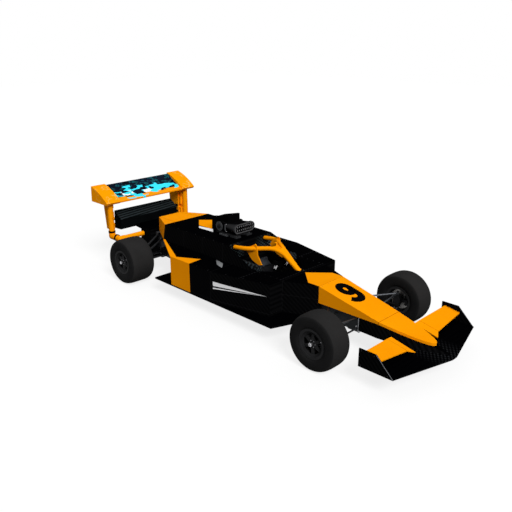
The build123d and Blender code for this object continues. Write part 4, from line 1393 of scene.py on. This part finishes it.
def rim_coat(name, axle, disc_low):
    """Satin coat, grey on the spokes and lips and near black inside, and a swept steel disc."""
    finish = Finish(name, Specular_IOR_Level=0.02)
    place, y, radius = about_axle(finish, axle)
    side = y.size()
    outer = side.beyond(spoke_side).any(radius.beyond(lip_radius))
    disc = side.within(disc_low - disc_slack, disc_low + disc_thick + disc_slack, 0.0005)
    disc = disc * (1 - radius.beyond(disc_radius, 0.001))
    stains = finish.noise(place, 14.0, detail=4)
    sweep = (radius * 2600).sine() * 0.5 + 0.5
    inner_coat = finish.mix(stains, display(3, 3, 4), display(9, 9, 10))
    outer_coat = finish.mix(stains, display(32, 32, 33), display(46, 46, 47))
    coat = finish.mix(outer, inner_coat, outer_coat)
    steel = finish.mix(stains * 0.6 + sweep * 0.4, display(92, 90, 88), display(140, 139, 138))
    finish.set("Base Color", finish.mix(disc, coat, steel))
    finish.set("Metallic", disc)
    finish.set("Roughness", stains * 0.2 + 0.32)
    finish.bump(sweep * disc + stains * 0.2, 0.00015)
    return finish


nut_bright = metal("nut_bright", (205, 205, 208), 0.22)
dish_coat = metal("dish_coat", (44, 44, 45), 0.6, shine=0.0)
for end, axle, disc_low in (("front", 0.0, 0.771), ("rear", rear_axle, 0.700)):
    for side, sign in (("left", 1), ("right", -1)):
        body = f"{end}_{side}_wheel"
        low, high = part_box(f"{end}_tyre_{side}")
        middle = np.array([front_axle_x + axle, (low.y + high.y) / 2, axle_z])
        half = (high.y - low.y) / 2
        outward = (0, sign, 0)

        shoulder = np.column_stack([half - tyre_line[:, 0], tyre_line[:, 1]])
        bead = np.array([(half - bead_inset, bead_radius)])
        shape = np.concatenate([shoulder, [(0, axle_z)], (shoulder * [-1, 1])[::-1],
                                bead * [-1, 1], bead])
        tyre = lathed(f"{end}_slick_{side}", shape, middle, outward, tyre_columns,
                      rubber(f"{end}_rubber_{side}", axle), "tyre", body, closed_rows=True,
                      sharp=60)
        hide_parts(f"{end}_tyre_{side}")

        dress(rim_coat(f"{end}_rim_coat_{side}", axle, disc_low), f"{end}_rim_{side}")
        nut_face = middle + [0, sign * (half - nut_inset), 0]
        lathed(f"{end}_nut_ring_{side}", ring_form, nut_face, outward, 40, shaft_steel, body=body)
        lathed(f"{end}_nut_{side}", nut_form, nut_face, outward, 12, nut_bright, body=body,
               sharp=25)
        lathed(f"{end}_dish_{side}", dish_form + [half, 0], middle, outward, 72, dish_coat,
               "black_rim", body, closed_rows=True)
        pins = nut_face + pin_reach * six_round
        screws(f"{end}_drive_pins_{side}", pins, outward, 0.0055, bolt_steel, body)
        foot = middle + [valve_reach * math.cos(valve_turn), sign * (half - valve_inset),
                         valve_reach * math.sin(valve_turn)]
        lathed(f"{end}_valve_{side}", valve_form, foot, outward, 14, bolt_steel, body=body)
